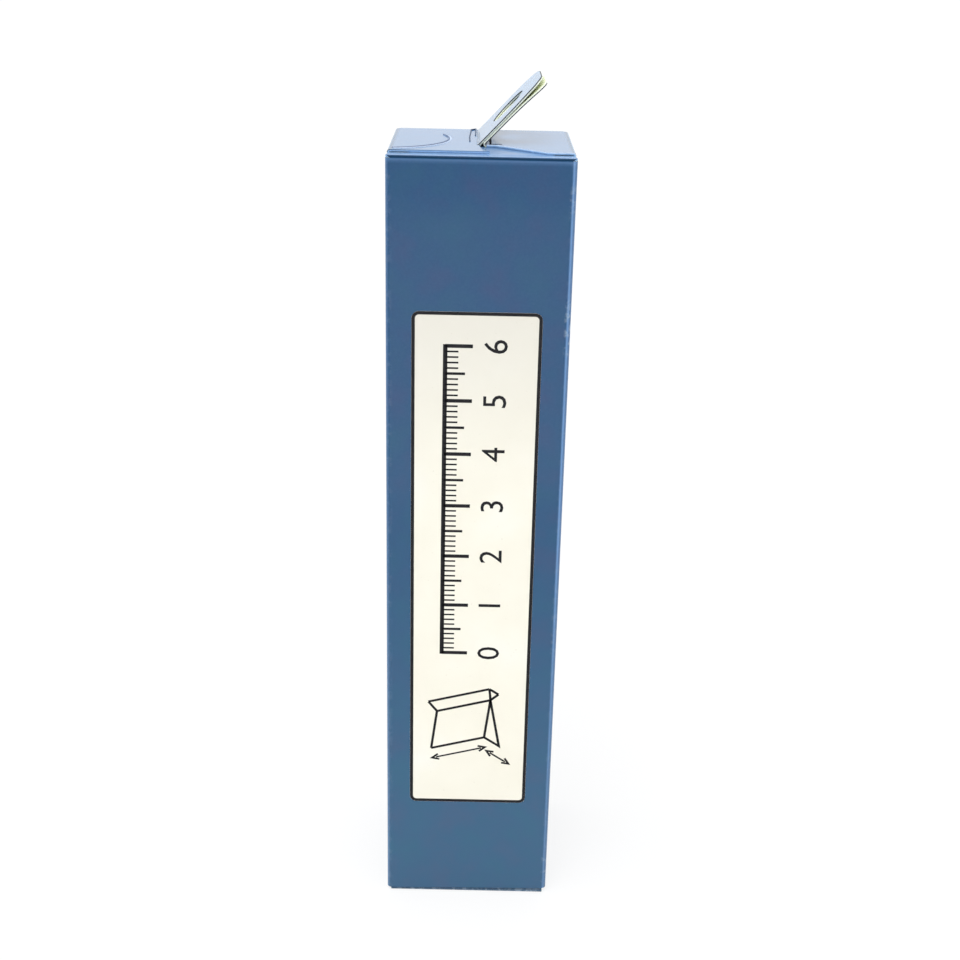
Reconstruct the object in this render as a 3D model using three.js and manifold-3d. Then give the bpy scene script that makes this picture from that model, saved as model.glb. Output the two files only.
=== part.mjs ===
// A hand-held dispenser for folded steel clips, standing in its hang-tab folding carton.
// Millimetres, +Z up. The origin is the middle of the carton's base, and the labelled face looks along -Y.
import * as THREE from "three";
import { mergeVertices } from "three/addons/utils/BufferGeometryUtils.js";
import Module from "manifold-3d";

const wasm = await Module();
wasm.setup();

// Carton
const CARTON_WIDTH = 32;
const CARTON_DEPTH = 32;
const CARTON_HEIGHT = 147.1;
const BOARD = 0.42;
const FOLD_RADIUS = 0.9; // outer radius of the four upright folds
const LAYER_GAP = 0.05; // between two layers of board that lie on each other
const CREASE_GAP = 0.06; // between a wall's end and the rounded end of the flap it carries
const SIDE_GAP = 0.28; // between a dust flap and the walls beside it

// Top closing flaps
const FLAP_SETBACK = 5.6; // front face to the flaps' front edge
const FLAP_BACK_GAP = 0.4;
const LEFT_NOSE = 1.4; // how far the left flap's front corner passes the middle
const RIGHT_SHOULDER = 4.7; // straight front edge left on the right flap
const PLY_CREASE_GAP = 0.42; // between a ply's crease line and the end of its flap

// Hang tab
const TAB_SETBACK = 12.9; // front face to the tab's near edge
const TAB_BACK_GAP = 0.6;
const PLY_LENGTH = 15.5;
const PLY_SHORTFALL = 0.6; // how much shorter the right ply is
const PLY_SPACING = 0.66; // between the two crease lines
const PLY_PIVOT_RISE = 0.05; // crease lines above the flaps' top face
const LEFT_PLY_ANGLE = 48.6; // degrees above level, leaning right
const RIGHT_PLY_ANGLE = 45.8;
const TAB_NEAR_CORNER = 2.2;
const TAB_FAR_CORNER = 8.4;
const HANG_HOLE_RADIUS = 3.6;
const HANG_HOLE_HEIGHT = 7.3; // crease to the hole's centre, along the ply

// Dust flaps
const DUST_MEETING_GAP = 1; // between the tips of the front and back dust flaps
const DUST_LENGTH = (CARTON_DEPTH - DUST_MEETING_GAP) / 2;
const DUST_TAPER = 0.55; // how much each side draws in for each millimetre of length
const DUST_DROOP = 1.5; // degrees
const BOTTOM_DUST_LENGTH = 12.6;
const BOTTOM_DUST_SETBACK = 3.6;

// Bottom tuck flap
const TUCK_GAP = 0.2; // front wall to the tuck flap's fold
const TONGUE_LENGTH = 8;
const TONGUE_LEAN = 8; // degrees, inwards
const FRONT_LIFT = 0.75; // front wall's lower edge above the base

// Glue flap and label
const GLUE_FLAP_WIDTH = 10;
const GLUE_FLAP_END = 8;
const LABEL_WIDTH = 22.5;
const LABEL_HEIGHT = 99.6;
const LABEL_BOTTOM = 20.9;
const LABEL_THICKNESS = 0.1;
const LABEL_CORNER = 1.3;

// Clips
const CLIP_WIDTH = 13;
const CLIP_BASE = 4.8;
const CLIP_HEIGHT = 11.6;
const CLIP_SHEET = 0.3;
const CLIP_LIP_WIDTH = 14.8;
const CLIP_LIP_HEIGHT = 2.2;
const CLIP_LIP_FLARE = 1.5; // half opening at the tips of the lips
const CLIP_MOUTH = 0.3; // half opening at the throat
const CLIP_COUNT = 5;
const CLIP_PITCH_GAP = 0.3;

// Dispenser
const BODY_FLOOR_GAP = 0.1; // bottom dust flaps to the end cap
const BODY_BACK_CLEARANCE = 0.5;
const HEADROOM = 10; // nozzle's end to the top flaps' upper face
const BODY_DEPTH = 21;
const BODY_WIDTH = 20;
const BODY_EDGE = 1.6; // rounding of the long edges
const SPLIT_GAP = 0.1; // between the two shells
const FRONT_WALL = 1.8;
const CHANNEL_CLEARANCE = 0.4; // clip to channel wall, all round
const CHANNEL_WEB = 1.6; // wall behind the channel
const SHELL_WALL = 1.8;
const TAPER_LENGTH = 26;
const TAPER_WALL = 1.8; // wall behind the channel at the nozzle end
const CAP_THICKNESS = 2;
const CAP_PLUG = 4;
const PART_GAP = 0.3; // between pieces that slide or seat in each other
const JOINT_GAP = 0.05; // between flat faces that rest on each other
const NOZZLE_LENGTH = 12;
const NOZZLE_WALL = 1.3;
const NOZZLE_NARROWING = 0.7;
const MOUTH_WIDTH = 1.4;
const MOUTH_DEPTH = 5;
const SPREADER_REACH = 1.9;
const SPREADER_THICKNESS = 1.6;
const SPREADER_LENGTH = 5.2;
const SCREW_RADIUS = 0.85;
const SCREW_HEAD_RADIUS = 1.7;
const SCREW_HEAD_HEIGHT = 1;
const BOSS_RADIUS = 2.4;
const SCREW_ENDS = 12; // end screws from the ends of the grip hollow
const SCREW_COUNT = 3;

// Slider
const PUSHER_REST = 20; // body's foot to the pusher's top, with the slider back
const PUSHER_LENGTH = 8;
const SLOT_WIDTH = 3.4;
const KNOB_WIDTH = 9.4;
const KNOB_LENGTH = 15;
const KNOB_HEIGHT = 4.6;
const KNOB_RIDGES = 4;
const KNOB_RIDGE_HEIGHT = 0.7;
const STEM_LENGTH = 7;

// Levels that follow from the sizes above
const LEFT = -CARTON_WIDTH / 2;
const RIGHT = CARTON_WIDTH / 2;
const FRONT = -CARTON_DEPTH / 2;
const BACK = CARTON_DEPTH / 2;
const HALF_BOARD = BOARD / 2;
const FLAP_AXIS_Z = CARTON_HEIGHT - HALF_BOARD;
const DUST_AXIS_Z = FLAP_AXIS_Z - BOARD - LAYER_GAP;
const SIDE_WALL_TOP = FLAP_AXIS_Z - HALF_BOARD - CREASE_GAP;
const END_WALL_TOP = DUST_AXIS_Z - HALF_BOARD - CREASE_GAP;
const BOTTOM_DUST_AXIS_Z = BOARD + LAYER_GAP + HALF_BOARD;
const SIDE_WALL_FOOT = BOTTOM_DUST_AXIS_Z + HALF_BOARD + CREASE_GAP;
const BACK_WALL_FOOT = BOARD + CREASE_GAP;
const PLY_AXIS_Z = CARTON_HEIGHT + PLY_PIVOT_RISE;
const PLY_AXIS_X = PLY_SPACING / 2;

// Materials
const paint = (color, roughness, metalness = 0) =>
  new THREE.MeshStandardMaterial({ color, roughness, metalness });
const BLUE_BOARD = paint(0x40699a, 0.32);
const BOARD_INSIDE = paint(0xe4e2d6, 0.8);
const CREAM_PAPER = paint(0xf6f1e4, 0.55);
const SHELL_PLASTIC = paint(0x2d2f33, 0.42);
const NOZZLE_PLASTIC = paint(0x2a67a8, 0.35);
const KNOB_PLASTIC = paint(0x2a67a8, 0.4);
const STEEL = paint(0xb9bcc0, 0.3, 1);

const carton = new THREE.Group();
const dispenser = new THREE.Group();

// Geometry helpers
function toSolid(geometry) {
  const bare = new THREE.BufferGeometry();
  bare.setAttribute("position", geometry.getAttribute("position").clone());
  if (geometry.index) bare.setIndex(geometry.index.clone());
  const merged = mergeVertices(bare, 1e-4);
  return new wasm.Manifold(
    new wasm.Mesh({
      numProp: 3,
      vertProperties: new Float32Array(merged.getAttribute("position").array),
      triVerts: new Uint32Array(merged.index.array),
    }),
  );
}

function toGeometry(solid) {
  const mesh = solid.getMesh();
  const geometry = new THREE.BufferGeometry();
  geometry.setAttribute("position", new THREE.BufferAttribute(mesh.vertProperties, 3));
  geometry.setIndex(new THREE.BufferAttribute(mesh.triVerts, 1));
  geometry.computeVertexNormals();
  return geometry;
}

const degrees = (angle) => (angle * Math.PI) / 180;

function block(x0, x1, y0, y1, z0, z1) {
  const geometry = new THREE.BoxGeometry(x1 - x0, y1 - y0, z1 - z0);
  return geometry.translate((x0 + x1) / 2, (y0 + y1) / 2, (z0 + z1) / 2);
}

const PLAIN = { bevelEnabled: false, curveSegments: 8 };

// An outline in plan, raised from z0 to z1.
function raise(shape, z0, z1) {
  const geometry = new THREE.ExtrudeGeometry(shape, { ...PLAIN, depth: z1 - z0 });
  return geometry.translate(0, 0, z0);
}

// An outline seen from the side, with Y across and Z up, drawn out along X.
function drawAlongX(shape, x0, x1, options = PLAIN) {
  const geometry = new THREE.ExtrudeGeometry(shape, { ...options, depth: x1 - x0 });
  const turn = new THREE.Matrix4().makeBasis(
    new THREE.Vector3(0, 1, 0),
    new THREE.Vector3(0, 0, 1),
    new THREE.Vector3(1, 0, 0),
  );
  return geometry.applyMatrix4(turn).translate(x0, 0, 0);
}

// An outline seen from the front, with X across and Z up, drawn out along Y.
function drawAlongY(shape, y0, y1) {
  const geometry = new THREE.ExtrudeGeometry(shape, { ...PLAIN, depth: y1 - y0 });
  return geometry.rotateX(Math.PI / 2).translate(0, y1, 0);
}

function outline(points) {
  return new THREE.Shape(points.map(([a, b]) => new THREE.Vector2(a, b)));
}

function add(group, name, geometry, material) {
  const mesh = new THREE.Mesh(geometry, material.clone());
  mesh.name = name;
  group.add(mesh);
  return mesh;
}

// A board panel on a crease: the crease runs along local Y through the origin and the panel lies
// along local +X, with its end rounded about the crease.
function creasedPanel(shape, length, hole) {
  const slab = new THREE.Shape();
  slab.moveTo(0, HALF_BOARD);
  slab.absarc(0, 0, HALF_BOARD, Math.PI / 2, (3 * Math.PI) / 2, false);
  slab.lineTo(length, -HALF_BOARD);
  slab.lineTo(length, HALF_BOARD);
  const reach = Math.max(CARTON_WIDTH, CARTON_DEPTH);
  const sheet = toSolid(drawAlongY(slab, -reach, reach));
  const panel = sheet.intersect(toSolid(raise(shape, -BOARD, BOARD)));
  return toGeometry(hole ? panel.subtract(hole) : panel);
}

// A flap drawn in plan in the carton's frame, hung on a crease at (x, y, z). turn is the direction
// in which it lies, and droop tips its free end down.
function flap(name, planShape, [x, y, z], turn, length, droop = 0) {
  const local = planShape.getPoints(8).map((point) => {
    return point.sub(new THREE.Vector2(x, y)).rotateAround(new THREE.Vector2(), -turn);
  });
  const mesh = add(carton, name, creasedPanel(new THREE.Shape(local), length), BLUE_BOARD);
  mesh.position.set(x, y, z);
  mesh.rotation.set(0, degrees(droop), turn, "ZYX");
  return mesh;
}

// Carton walls
function endWallShape() {
  const inner = FOLD_RADIUS - BOARD;
  const x = RIGHT - FOLD_RADIUS;
  const y = FRONT + FOLD_RADIUS;
  const shape = new THREE.Shape();
  shape.moveTo(LEFT, y);
  shape.absarc(-x, y, FOLD_RADIUS, Math.PI, 1.5 * Math.PI, false);
  shape.absarc(x, y, FOLD_RADIUS, 1.5 * Math.PI, 2 * Math.PI, false);
  shape.absarc(x, y, inner, 2 * Math.PI, 1.5 * Math.PI, true);
  shape.absarc(-x, y, inner, 1.5 * Math.PI, Math.PI, true);
  return shape;
}

function buildWalls() {
  add(carton, "front_wall", raise(endWallShape(), FRONT_LIFT, END_WALL_TOP), BLUE_BOARD);
  const back = raise(endWallShape(), BACK_WALL_FOOT, END_WALL_TOP).rotateZ(Math.PI);
  add(carton, "back_wall", back, BLUE_BOARD);
  for (const [name, outer, inner] of [
    ["left_wall", LEFT, LEFT + BOARD],
    ["right_wall", RIGHT, RIGHT - BOARD],
  ]) {
    const wall = block(
      Math.min(outer, inner),
      Math.max(outer, inner),
      FRONT + FOLD_RADIUS,
      BACK - FOLD_RADIUS,
      SIDE_WALL_FOOT,
      SIDE_WALL_TOP,
    );
    add(carton, name, wall, BLUE_BOARD);
  }
}

function buildGlueFlap() {
  const near = LEFT + FOLD_RADIUS + BOARD;
  const far = near + GLUE_FLAP_WIDTH;
  const low = GLUE_FLAP_END;
  const high = CARTON_HEIGHT - GLUE_FLAP_END;
  const shape = outline([
    [near, low],
    [far, low + GLUE_FLAP_WIDTH / 2],
    [far, high - GLUE_FLAP_WIDTH / 2],
    [near, high],
  ]);
  const y1 = BACK - BOARD - LAYER_GAP;
  add(carton, "glue_flap", drawAlongY(shape, y1 - BOARD, y1), BOARD_INSIDE);
}

function buildLabel() {
  const x = LABEL_WIDTH / 2 - LABEL_CORNER;
  const low = LABEL_BOTTOM + LABEL_CORNER;
  const high = LABEL_BOTTOM + LABEL_HEIGHT - LABEL_CORNER;
  const shape = new THREE.Shape();
  shape.absarc(-x, low, LABEL_CORNER, Math.PI, 1.5 * Math.PI, false);
  shape.absarc(x, low, LABEL_CORNER, 1.5 * Math.PI, 2 * Math.PI, false);
  shape.absarc(x, high, LABEL_CORNER, 0, 0.5 * Math.PI, false);
  shape.absarc(-x, high, LABEL_CORNER, 0.5 * Math.PI, Math.PI, false);
  add(carton, "label", drawAlongY(shape, FRONT - LABEL_THICKNESS, FRONT), CREAM_PAPER);
}

// Top closing flaps, which end in the creases of the hang tab
function buildTopFlaps() {
  const front = FRONT + FLAP_SETBACK;
  const back = BACK - FLAP_BACK_GAP;
  const tabFront = FRONT + TAB_SETBACK;
  const creaseEnd = PLY_AXIS_X + PLY_CREASE_GAP;
  const step = PLY_CREASE_GAP;

  const left = new THREE.Shape();
  left.moveTo(LEFT - BOARD, front);
  left.lineTo(LEFT_NOSE, front);
  left.quadraticCurveTo(0, front + LEFT_NOSE, -PLY_AXIS_X, tabFront - step);
  left.lineTo(-creaseEnd, tabFront - step);
  left.lineTo(-creaseEnd, back);
  left.lineTo(LEFT - BOARD, back);
  flap("top_left_flap", left, [LEFT + HALF_BOARD, 0, FLAP_AXIS_Z], 0, RIGHT + LEFT_NOSE);

  const shoulder = RIGHT - RIGHT_SHOULDER;
  const cornerX = creaseEnd + 4 * BOARD;
  const cornerY = tabFront;
  const bend = [(shoulder + cornerX) / 2 - BOARD, (front + cornerY) / 2 + BOARD];
  const right = new THREE.Shape();
  right.moveTo(RIGHT + BOARD, front);
  right.lineTo(shoulder, front);
  right.quadraticCurveTo(...bend, cornerX, cornerY);
  right.lineTo(creaseEnd, cornerY);
  right.lineTo(creaseEnd, back);
  right.lineTo(RIGHT + BOARD, back);
  flap("top_right_flap", right, [RIGHT - HALF_BOARD, 0, FLAP_AXIS_Z], Math.PI, RIGHT);
}

// One ply of the hang tab: local X runs up the ply and Y along its crease.
function plyShape(length) {
  const near = FRONT + TAB_SETBACK;
  const far = BACK - TAB_BACK_GAP;
  const nearCentre = [length - TAB_NEAR_CORNER, near + TAB_NEAR_CORNER];
  const farCentre = [length - TAB_FAR_CORNER, far - TAB_FAR_CORNER];
  const shape = new THREE.Shape();
  shape.absarc(...nearCentre, TAB_NEAR_CORNER, -Math.PI / 2, 0, false);
  shape.absarc(...farCentre, TAB_FAR_CORNER, 0, Math.PI / 2, false);
  shape.lineTo(-BOARD, far);
  shape.lineTo(-BOARD, near);
  return shape;
}

function hangHole() {
  const middle = (FRONT + TAB_SETBACK + BACK - TAB_BACK_GAP) / 2;
  const bore = new THREE.CylinderGeometry(HANG_HOLE_RADIUS, HANG_HOLE_RADIUS, 2 * BOARD, 28);
  return toSolid(bore.rotateX(Math.PI / 2).translate(HANG_HOLE_HEIGHT, middle, 0));
}

function buildHangTab() {
  for (const [name, side, angle, length] of [
    ["hang_tab_left_ply", -1, LEFT_PLY_ANGLE, PLY_LENGTH],
    ["hang_tab_right_ply", 1, RIGHT_PLY_ANGLE, PLY_LENGTH - PLY_SHORTFALL],
  ]) {
    const ply = add(carton, name, creasedPanel(plyShape(length), length, hangHole()), BLUE_BOARD);
    ply.position.set(side * PLY_AXIS_X, 0, PLY_AXIS_Z);
    ply.rotation.y = -degrees(angle);
  }
}

// Top dust flaps: the front one keeps its full width where it shows in front of the closing flaps
function buildTopDustFlaps() {
  const half = RIGHT - BOARD - SIDE_GAP;
  const tip = DUST_LENGTH;
  const drawnIn = (distance) => half - DUST_TAPER * distance;

  const shownEnd = FLAP_SETBACK - SIDE_GAP;
  const profile = [
    [half, -BOARD],
    [half, shownEnd],
    [drawnIn(shownEnd), shownEnd],
    [drawnIn(tip), tip],
  ];
  const front = outline([
    ...profile.map(([x, d]) => [x, FRONT + d]),
    ...profile.reverse().map(([x, d]) => [-x, FRONT + d]),
  ]);
  flap("top_front_dust_flap", front, [0, FRONT + HALF_BOARD, DUST_AXIS_Z], Math.PI / 2, tip, DUST_DROOP);

  const back = outline([
    [half, BACK + BOARD],
    [half, BACK],
    [drawnIn(tip), BACK - tip],
    [-drawnIn(tip), BACK - tip],
    [-half, BACK],
    [-half, BACK + BOARD],
  ]);
  flap("top_back_dust_flap", back, [0, BACK - HALF_BOARD, DUST_AXIS_Z], -Math.PI / 2, tip, DUST_DROOP);
}

// Bottom tuck flap, with its tongue standing behind the front wall
function buildBottomTuckFlap() {
  const foldY = FRONT + BOARD + TUCK_GAP;
  const lean = degrees(TONGUE_LEAN);
  const centre = [foldY + FOLD_RADIUS, FOLD_RADIUS];
  const inner = FOLD_RADIUS - BOARD;
  const tipOffset = [TONGUE_LENGTH * Math.sin(lean), TONGUE_LENGTH * Math.cos(lean)];
  const at = (radius) => [centre[0] - radius * Math.cos(lean), centre[1] + radius * Math.sin(lean)];
  const outerTip = [at(FOLD_RADIUS)[0] + tipOffset[0], at(FOLD_RADIUS)[1] + tipOffset[1]];
  const innerTip = [at(inner)[0] + tipOffset[0], at(inner)[1] + tipOffset[1]];
  const axis = BACK - HALF_BOARD;
  const shape = new THREE.Shape();
  shape.absarc(...centre, FOLD_RADIUS, Math.PI - lean, 1.5 * Math.PI, false);
  shape.absarc(axis, HALF_BOARD, HALF_BOARD, -Math.PI / 2, Math.PI / 2, false);
  shape.absarc(...centre, inner, 1.5 * Math.PI, Math.PI - lean, true);
  shape.lineTo(...innerTip);
  shape.lineTo(...outerTip);
  const half = RIGHT - BOARD - SIDE_GAP;
  add(carton, "bottom_tuck_flap", drawAlongX(shape, -half, half), BLUE_BOARD);
}

function buildBottomDustFlaps() {
  const front = FRONT + BOTTOM_DUST_SETBACK;
  const back = BACK - FOLD_RADIUS - CREASE_GAP;
  const tipBack = back - DUST_TAPER * BOTTOM_DUST_LENGTH;
  for (const [name, side, turn] of [
    ["bottom_left_dust_flap", -1, 0],
    ["bottom_right_dust_flap", 1, Math.PI],
  ]) {
    const edge = side * RIGHT;
    const tip = edge - side * BOTTOM_DUST_LENGTH;
    const shape = outline([
      [edge + side * BOARD, front],
      [tip, front],
      [tip, tipBack],
      [edge, back],
      [edge + side * BOARD, back],
    ]);
    const axis = [edge - side * HALF_BOARD, 0, BOTTOM_DUST_AXIS_Z];
    flap(name, shape, axis, turn, BOTTOM_DUST_LENGTH);
  }
}

// Dispenser levels: the channel for the clips runs up the front half of the body
const CAP_FOOT = 2 * BOARD + LAYER_GAP + BODY_FLOOR_GAP;
const BODY_FOOT = CAP_FOOT + CAP_THICKNESS + JOINT_GAP;
const BODY_TOP = CARTON_HEIGHT - HEADROOM - NOZZLE_LENGTH - JOINT_GAP;
const BODY_BACK = BACK - 2 * (BOARD + LAYER_GAP) - BODY_BACK_CLEARANCE;
const BODY_FRONT = BODY_BACK - BODY_DEPTH;
const CHANNEL_FRONT = BODY_FRONT + FRONT_WALL;
const CHANNEL_HALF_DEPTH = CLIP_BASE / 2 + CHANNEL_CLEARANCE;
const CHANNEL_Y = CHANNEL_FRONT + CHANNEL_HALF_DEPTH;
const CHANNEL_BACK = CHANNEL_Y + CHANNEL_HALF_DEPTH;
const CHANNEL_HALF_WIDTH = CLIP_LIP_WIDTH / 2 + CHANNEL_CLEARANCE;
const CLIP_PITCH = CLIP_HEIGHT + CLIP_PITCH_GAP;
const PUSHER_TOP = BODY_FOOT + PUSHER_REST;
const CLIP_ROW_FOOT = PUSHER_TOP + JOINT_GAP;
const CLIP_ROW_TOP = CLIP_ROW_FOOT + CLIP_COUNT * CLIP_PITCH - CLIP_PITCH_GAP;
const SLIDER_TRAVEL = BODY_TOP - CHANNEL_CLEARANCE - CLIP_ROW_TOP;
const STEM_FOOT = PUSHER_TOP - PUSHER_LENGTH / 2 - STEM_LENGTH / 2;
const GRIP_FRONT = CHANNEL_BACK + CHANNEL_WEB;
const GRIP_BACK = BODY_BACK - SHELL_WALL;
const GRIP_FOOT = BODY_FOOT + SHELL_WALL;
const GRIP_TOP = BODY_TOP - TAPER_LENGTH - SHELL_WALL;
const SCREW_Y = (GRIP_FRONT + GRIP_BACK) / 2;

function bodyShape() {
  const round = BODY_DEPTH / 4;
  const shape = new THREE.Shape();
  shape.moveTo(BODY_FRONT, BODY_FOOT);
  shape.lineTo(BODY_BACK - round, BODY_FOOT);
  shape.absarc(BODY_BACK - round, BODY_FOOT + round, round, -Math.PI / 2, 0, false);
  shape.lineTo(BODY_BACK, BODY_TOP - TAPER_LENGTH);
  shape.bezierCurveTo(
    BODY_BACK,
    BODY_TOP - TAPER_LENGTH / 2,
    CHANNEL_BACK + TAPER_WALL,
    BODY_TOP - TAPER_LENGTH / 2,
    CHANNEL_BACK + TAPER_WALL,
    BODY_TOP,
  );
  shape.lineTo(BODY_FRONT, BODY_TOP);
  return shape;
}

function screwHeights() {
  const low = GRIP_FOOT + SCREW_ENDS;
  const high = GRIP_TOP - SCREW_ENDS;
  return Array.from({ length: SCREW_COUNT }, (_, i) => low + ((high - low) * i) / (SCREW_COUNT - 1));
}

function rod(radius, x0, x1, y, z) {
  const geometry = new THREE.CylinderGeometry(radius, radius, x1 - x0, 16);
  return geometry.rotateZ(Math.PI / 2).translate((x0 + x1) / 2, y, z);
}

function buildShells() {
  const half = BODY_WIDTH / 2;
  const rounding = {
    bevelEnabled: true,
    bevelSize: BODY_EDGE,
    bevelOffset: -BODY_EDGE,
    bevelThickness: BODY_EDGE,
    bevelSegments: 3,
    curveSegments: 8,
  };
  let body = toSolid(drawAlongX(bodyShape(), -half + BODY_EDGE, half - BODY_EDGE, rounding));
  const hollow = half - SHELL_WALL;
  const head = half - SCREW_HEAD_HEIGHT - PART_GAP;
  const beyond = 1; // how far a cutting block passes the faces that it cuts
  body = body.subtract(toSolid(block(-hollow, hollow, GRIP_FRONT, GRIP_BACK, GRIP_FOOT, GRIP_TOP)));
  for (const z of screwHeights()) {
    const boss = rod(BOSS_RADIUS, -half + BODY_EDGE, half - BODY_EDGE, SCREW_Y, z);
    const bore = rod(SCREW_RADIUS + PART_GAP, -half + SHELL_WALL, half + beyond, SCREW_Y, z);
    const headBore = rod(SCREW_HEAD_RADIUS + PART_GAP, head, half + beyond, SCREW_Y, z);
    body = body.add(toSolid(boss)).subtract(toSolid(bore)).subtract(toSolid(headBore));
  }
  const channel = block(
    -CHANNEL_HALF_WIDTH,
    CHANNEL_HALF_WIDTH,
    CHANNEL_FRONT,
    CHANNEL_BACK,
    BODY_FOOT - beyond,
    BODY_TOP + beyond,
  );
  const slot = block(
    -SLOT_WIDTH / 2,
    SLOT_WIDTH / 2,
    BODY_FRONT - beyond,
    CHANNEL_FRONT + beyond,
    STEM_FOOT - PART_GAP,
    STEM_FOOT + STEM_LENGTH + SLIDER_TRAVEL + PART_GAP,
  );
  body = body.subtract(toSolid(channel)).subtract(toSolid(slot));
  for (const [name, side] of [
    ["dispenser_left_shell", -1],
    ["dispenser_right_shell", 1],
  ]) {
    const from = (side * SPLIT_GAP) / 2;
    const to = side * (half + beyond);
    const keep = block(
      Math.min(from, to),
      Math.max(from, to),
      BODY_FRONT - beyond,
      BODY_BACK + beyond,
      BODY_FOOT - beyond,
      BODY_TOP + beyond,
    );
    add(dispenser, name, toGeometry(body.intersect(toSolid(keep))), SHELL_PLASTIC);
  }
}

function buildScrews() {
  const length = BODY_WIDTH - SHELL_WALL - 3 * PART_GAP;
  const profile = [
    [0, -length],
    [SCREW_RADIUS / 2, -length],
    [SCREW_RADIUS, -length + 2 * SCREW_RADIUS],
    [SCREW_RADIUS, -SCREW_HEAD_HEIGHT],
    [SCREW_HEAD_RADIUS, -SCREW_HEAD_HEIGHT],
    [SCREW_HEAD_RADIUS, -SCREW_HEAD_HEIGHT / 3],
    [SCREW_HEAD_RADIUS * 0.8, 0],
    [0, 0],
  ].map(([r, h]) => new THREE.Vector2(r, h));
  screwHeights().forEach((z, i) => {
    const screw = add(dispenser, `shell_screw_${i + 1}`, new THREE.LatheGeometry(profile, 14), STEEL);
    screw.position.set(BODY_WIDTH / 2 - PART_GAP / 2, SCREW_Y, z);
    screw.rotation.z = -Math.PI / 2;
  });
}

function buildEndCap() {
  const half = BODY_WIDTH / 2;
  const plugHalf = CHANNEL_HALF_WIDTH - PART_GAP;
  const flange = raise(
    outline([
      [-half + BODY_EDGE, BODY_FRONT],
      [half - BODY_EDGE, BODY_FRONT],
      [half, BODY_FRONT + BODY_EDGE],
      [half, BODY_BACK - BODY_DEPTH / 4 - BODY_EDGE],
      [half - BODY_EDGE, BODY_BACK - BODY_DEPTH / 4],
      [-half + BODY_EDGE, BODY_BACK - BODY_DEPTH / 4],
      [-half, BODY_BACK - BODY_DEPTH / 4 - BODY_EDGE],
      [-half, BODY_FRONT + BODY_EDGE],
    ]),
    CAP_FOOT,
    CAP_FOOT + CAP_THICKNESS,
  );
  const plug = block(
    -plugHalf,
    plugHalf,
    CHANNEL_FRONT + PART_GAP,
    CHANNEL_BACK - PART_GAP,
    CAP_FOOT + CAP_THICKNESS / 2,
    BODY_FOOT + CAP_PLUG,
  );
  add(dispenser, "end_cap", toGeometry(toSolid(flange).add(toSolid(plug))), NOZZLE_PLASTIC);
}

// Nozzle: a tapering collar round the channel, with a slit for the edge of the paper
function buildNozzle() {
  const foot = BODY_TOP + JOINT_GAP;
  const top = foot + NOZZLE_LENGTH;
  const halfDepth = CHANNEL_HALF_DEPTH + NOZZLE_WALL;
  const halfWidth = CHANNEL_HALF_WIDTH + NOZZLE_WALL;
  const side = outline([
    [CHANNEL_Y - halfDepth, foot],
    [CHANNEL_Y + halfDepth, foot],
    [CHANNEL_Y + halfDepth, foot + NOZZLE_LENGTH / 3],
    [CHANNEL_Y + halfDepth - NOZZLE_NARROWING, top],
    [CHANNEL_Y - halfDepth + NOZZLE_NARROWING, top],
    [CHANNEL_Y - halfDepth, foot + NOZZLE_LENGTH / 3],
  ]);
  const bore = block(
    -CHANNEL_HALF_WIDTH,
    CHANNEL_HALF_WIDTH,
    CHANNEL_Y - CHANNEL_HALF_DEPTH,
    CHANNEL_Y + CHANNEL_HALF_DEPTH,
    foot - BOARD,
    top + BOARD,
  );
  const mouth = block(
    -halfWidth - BOARD,
    halfWidth + BOARD,
    CHANNEL_Y - MOUTH_WIDTH / 2,
    CHANNEL_Y + MOUTH_WIDTH / 2,
    top - MOUTH_DEPTH,
    top + BOARD,
  );
  const collar = toSolid(drawAlongX(side, -halfWidth, halfWidth));
  const nozzle = collar.subtract(toSolid(bore)).subtract(toSolid(mouth));
  add(dispenser, "nozzle", toGeometry(nozzle), NOZZLE_PLASTIC);

  // Wedges on the nozzle's side walls, which part the clip's lips as it passes
  const wedgeTop = top - MOUTH_DEPTH - PART_GAP;
  const wedge = outline([
    [CHANNEL_Y, wedgeTop - SPREADER_LENGTH],
    [CHANNEL_Y + SPREADER_THICKNESS / 2, wedgeTop - SPREADER_LENGTH / 4],
    [CHANNEL_Y + SPREADER_THICKNESS / 2, wedgeTop],
    [CHANNEL_Y - SPREADER_THICKNESS / 2, wedgeTop],
    [CHANNEL_Y - SPREADER_THICKNESS / 2, wedgeTop - SPREADER_LENGTH / 4],
  ]);
  const inner = CHANNEL_HALF_WIDTH - SPREADER_REACH;
  const outer = CHANNEL_HALF_WIDTH - JOINT_GAP;
  add(dispenser, "left_spreader", drawAlongX(wedge, -outer, -inner), STEEL);
  add(dispenser, "right_spreader", drawAlongX(wedge, inner, outer), STEEL);
}

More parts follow.
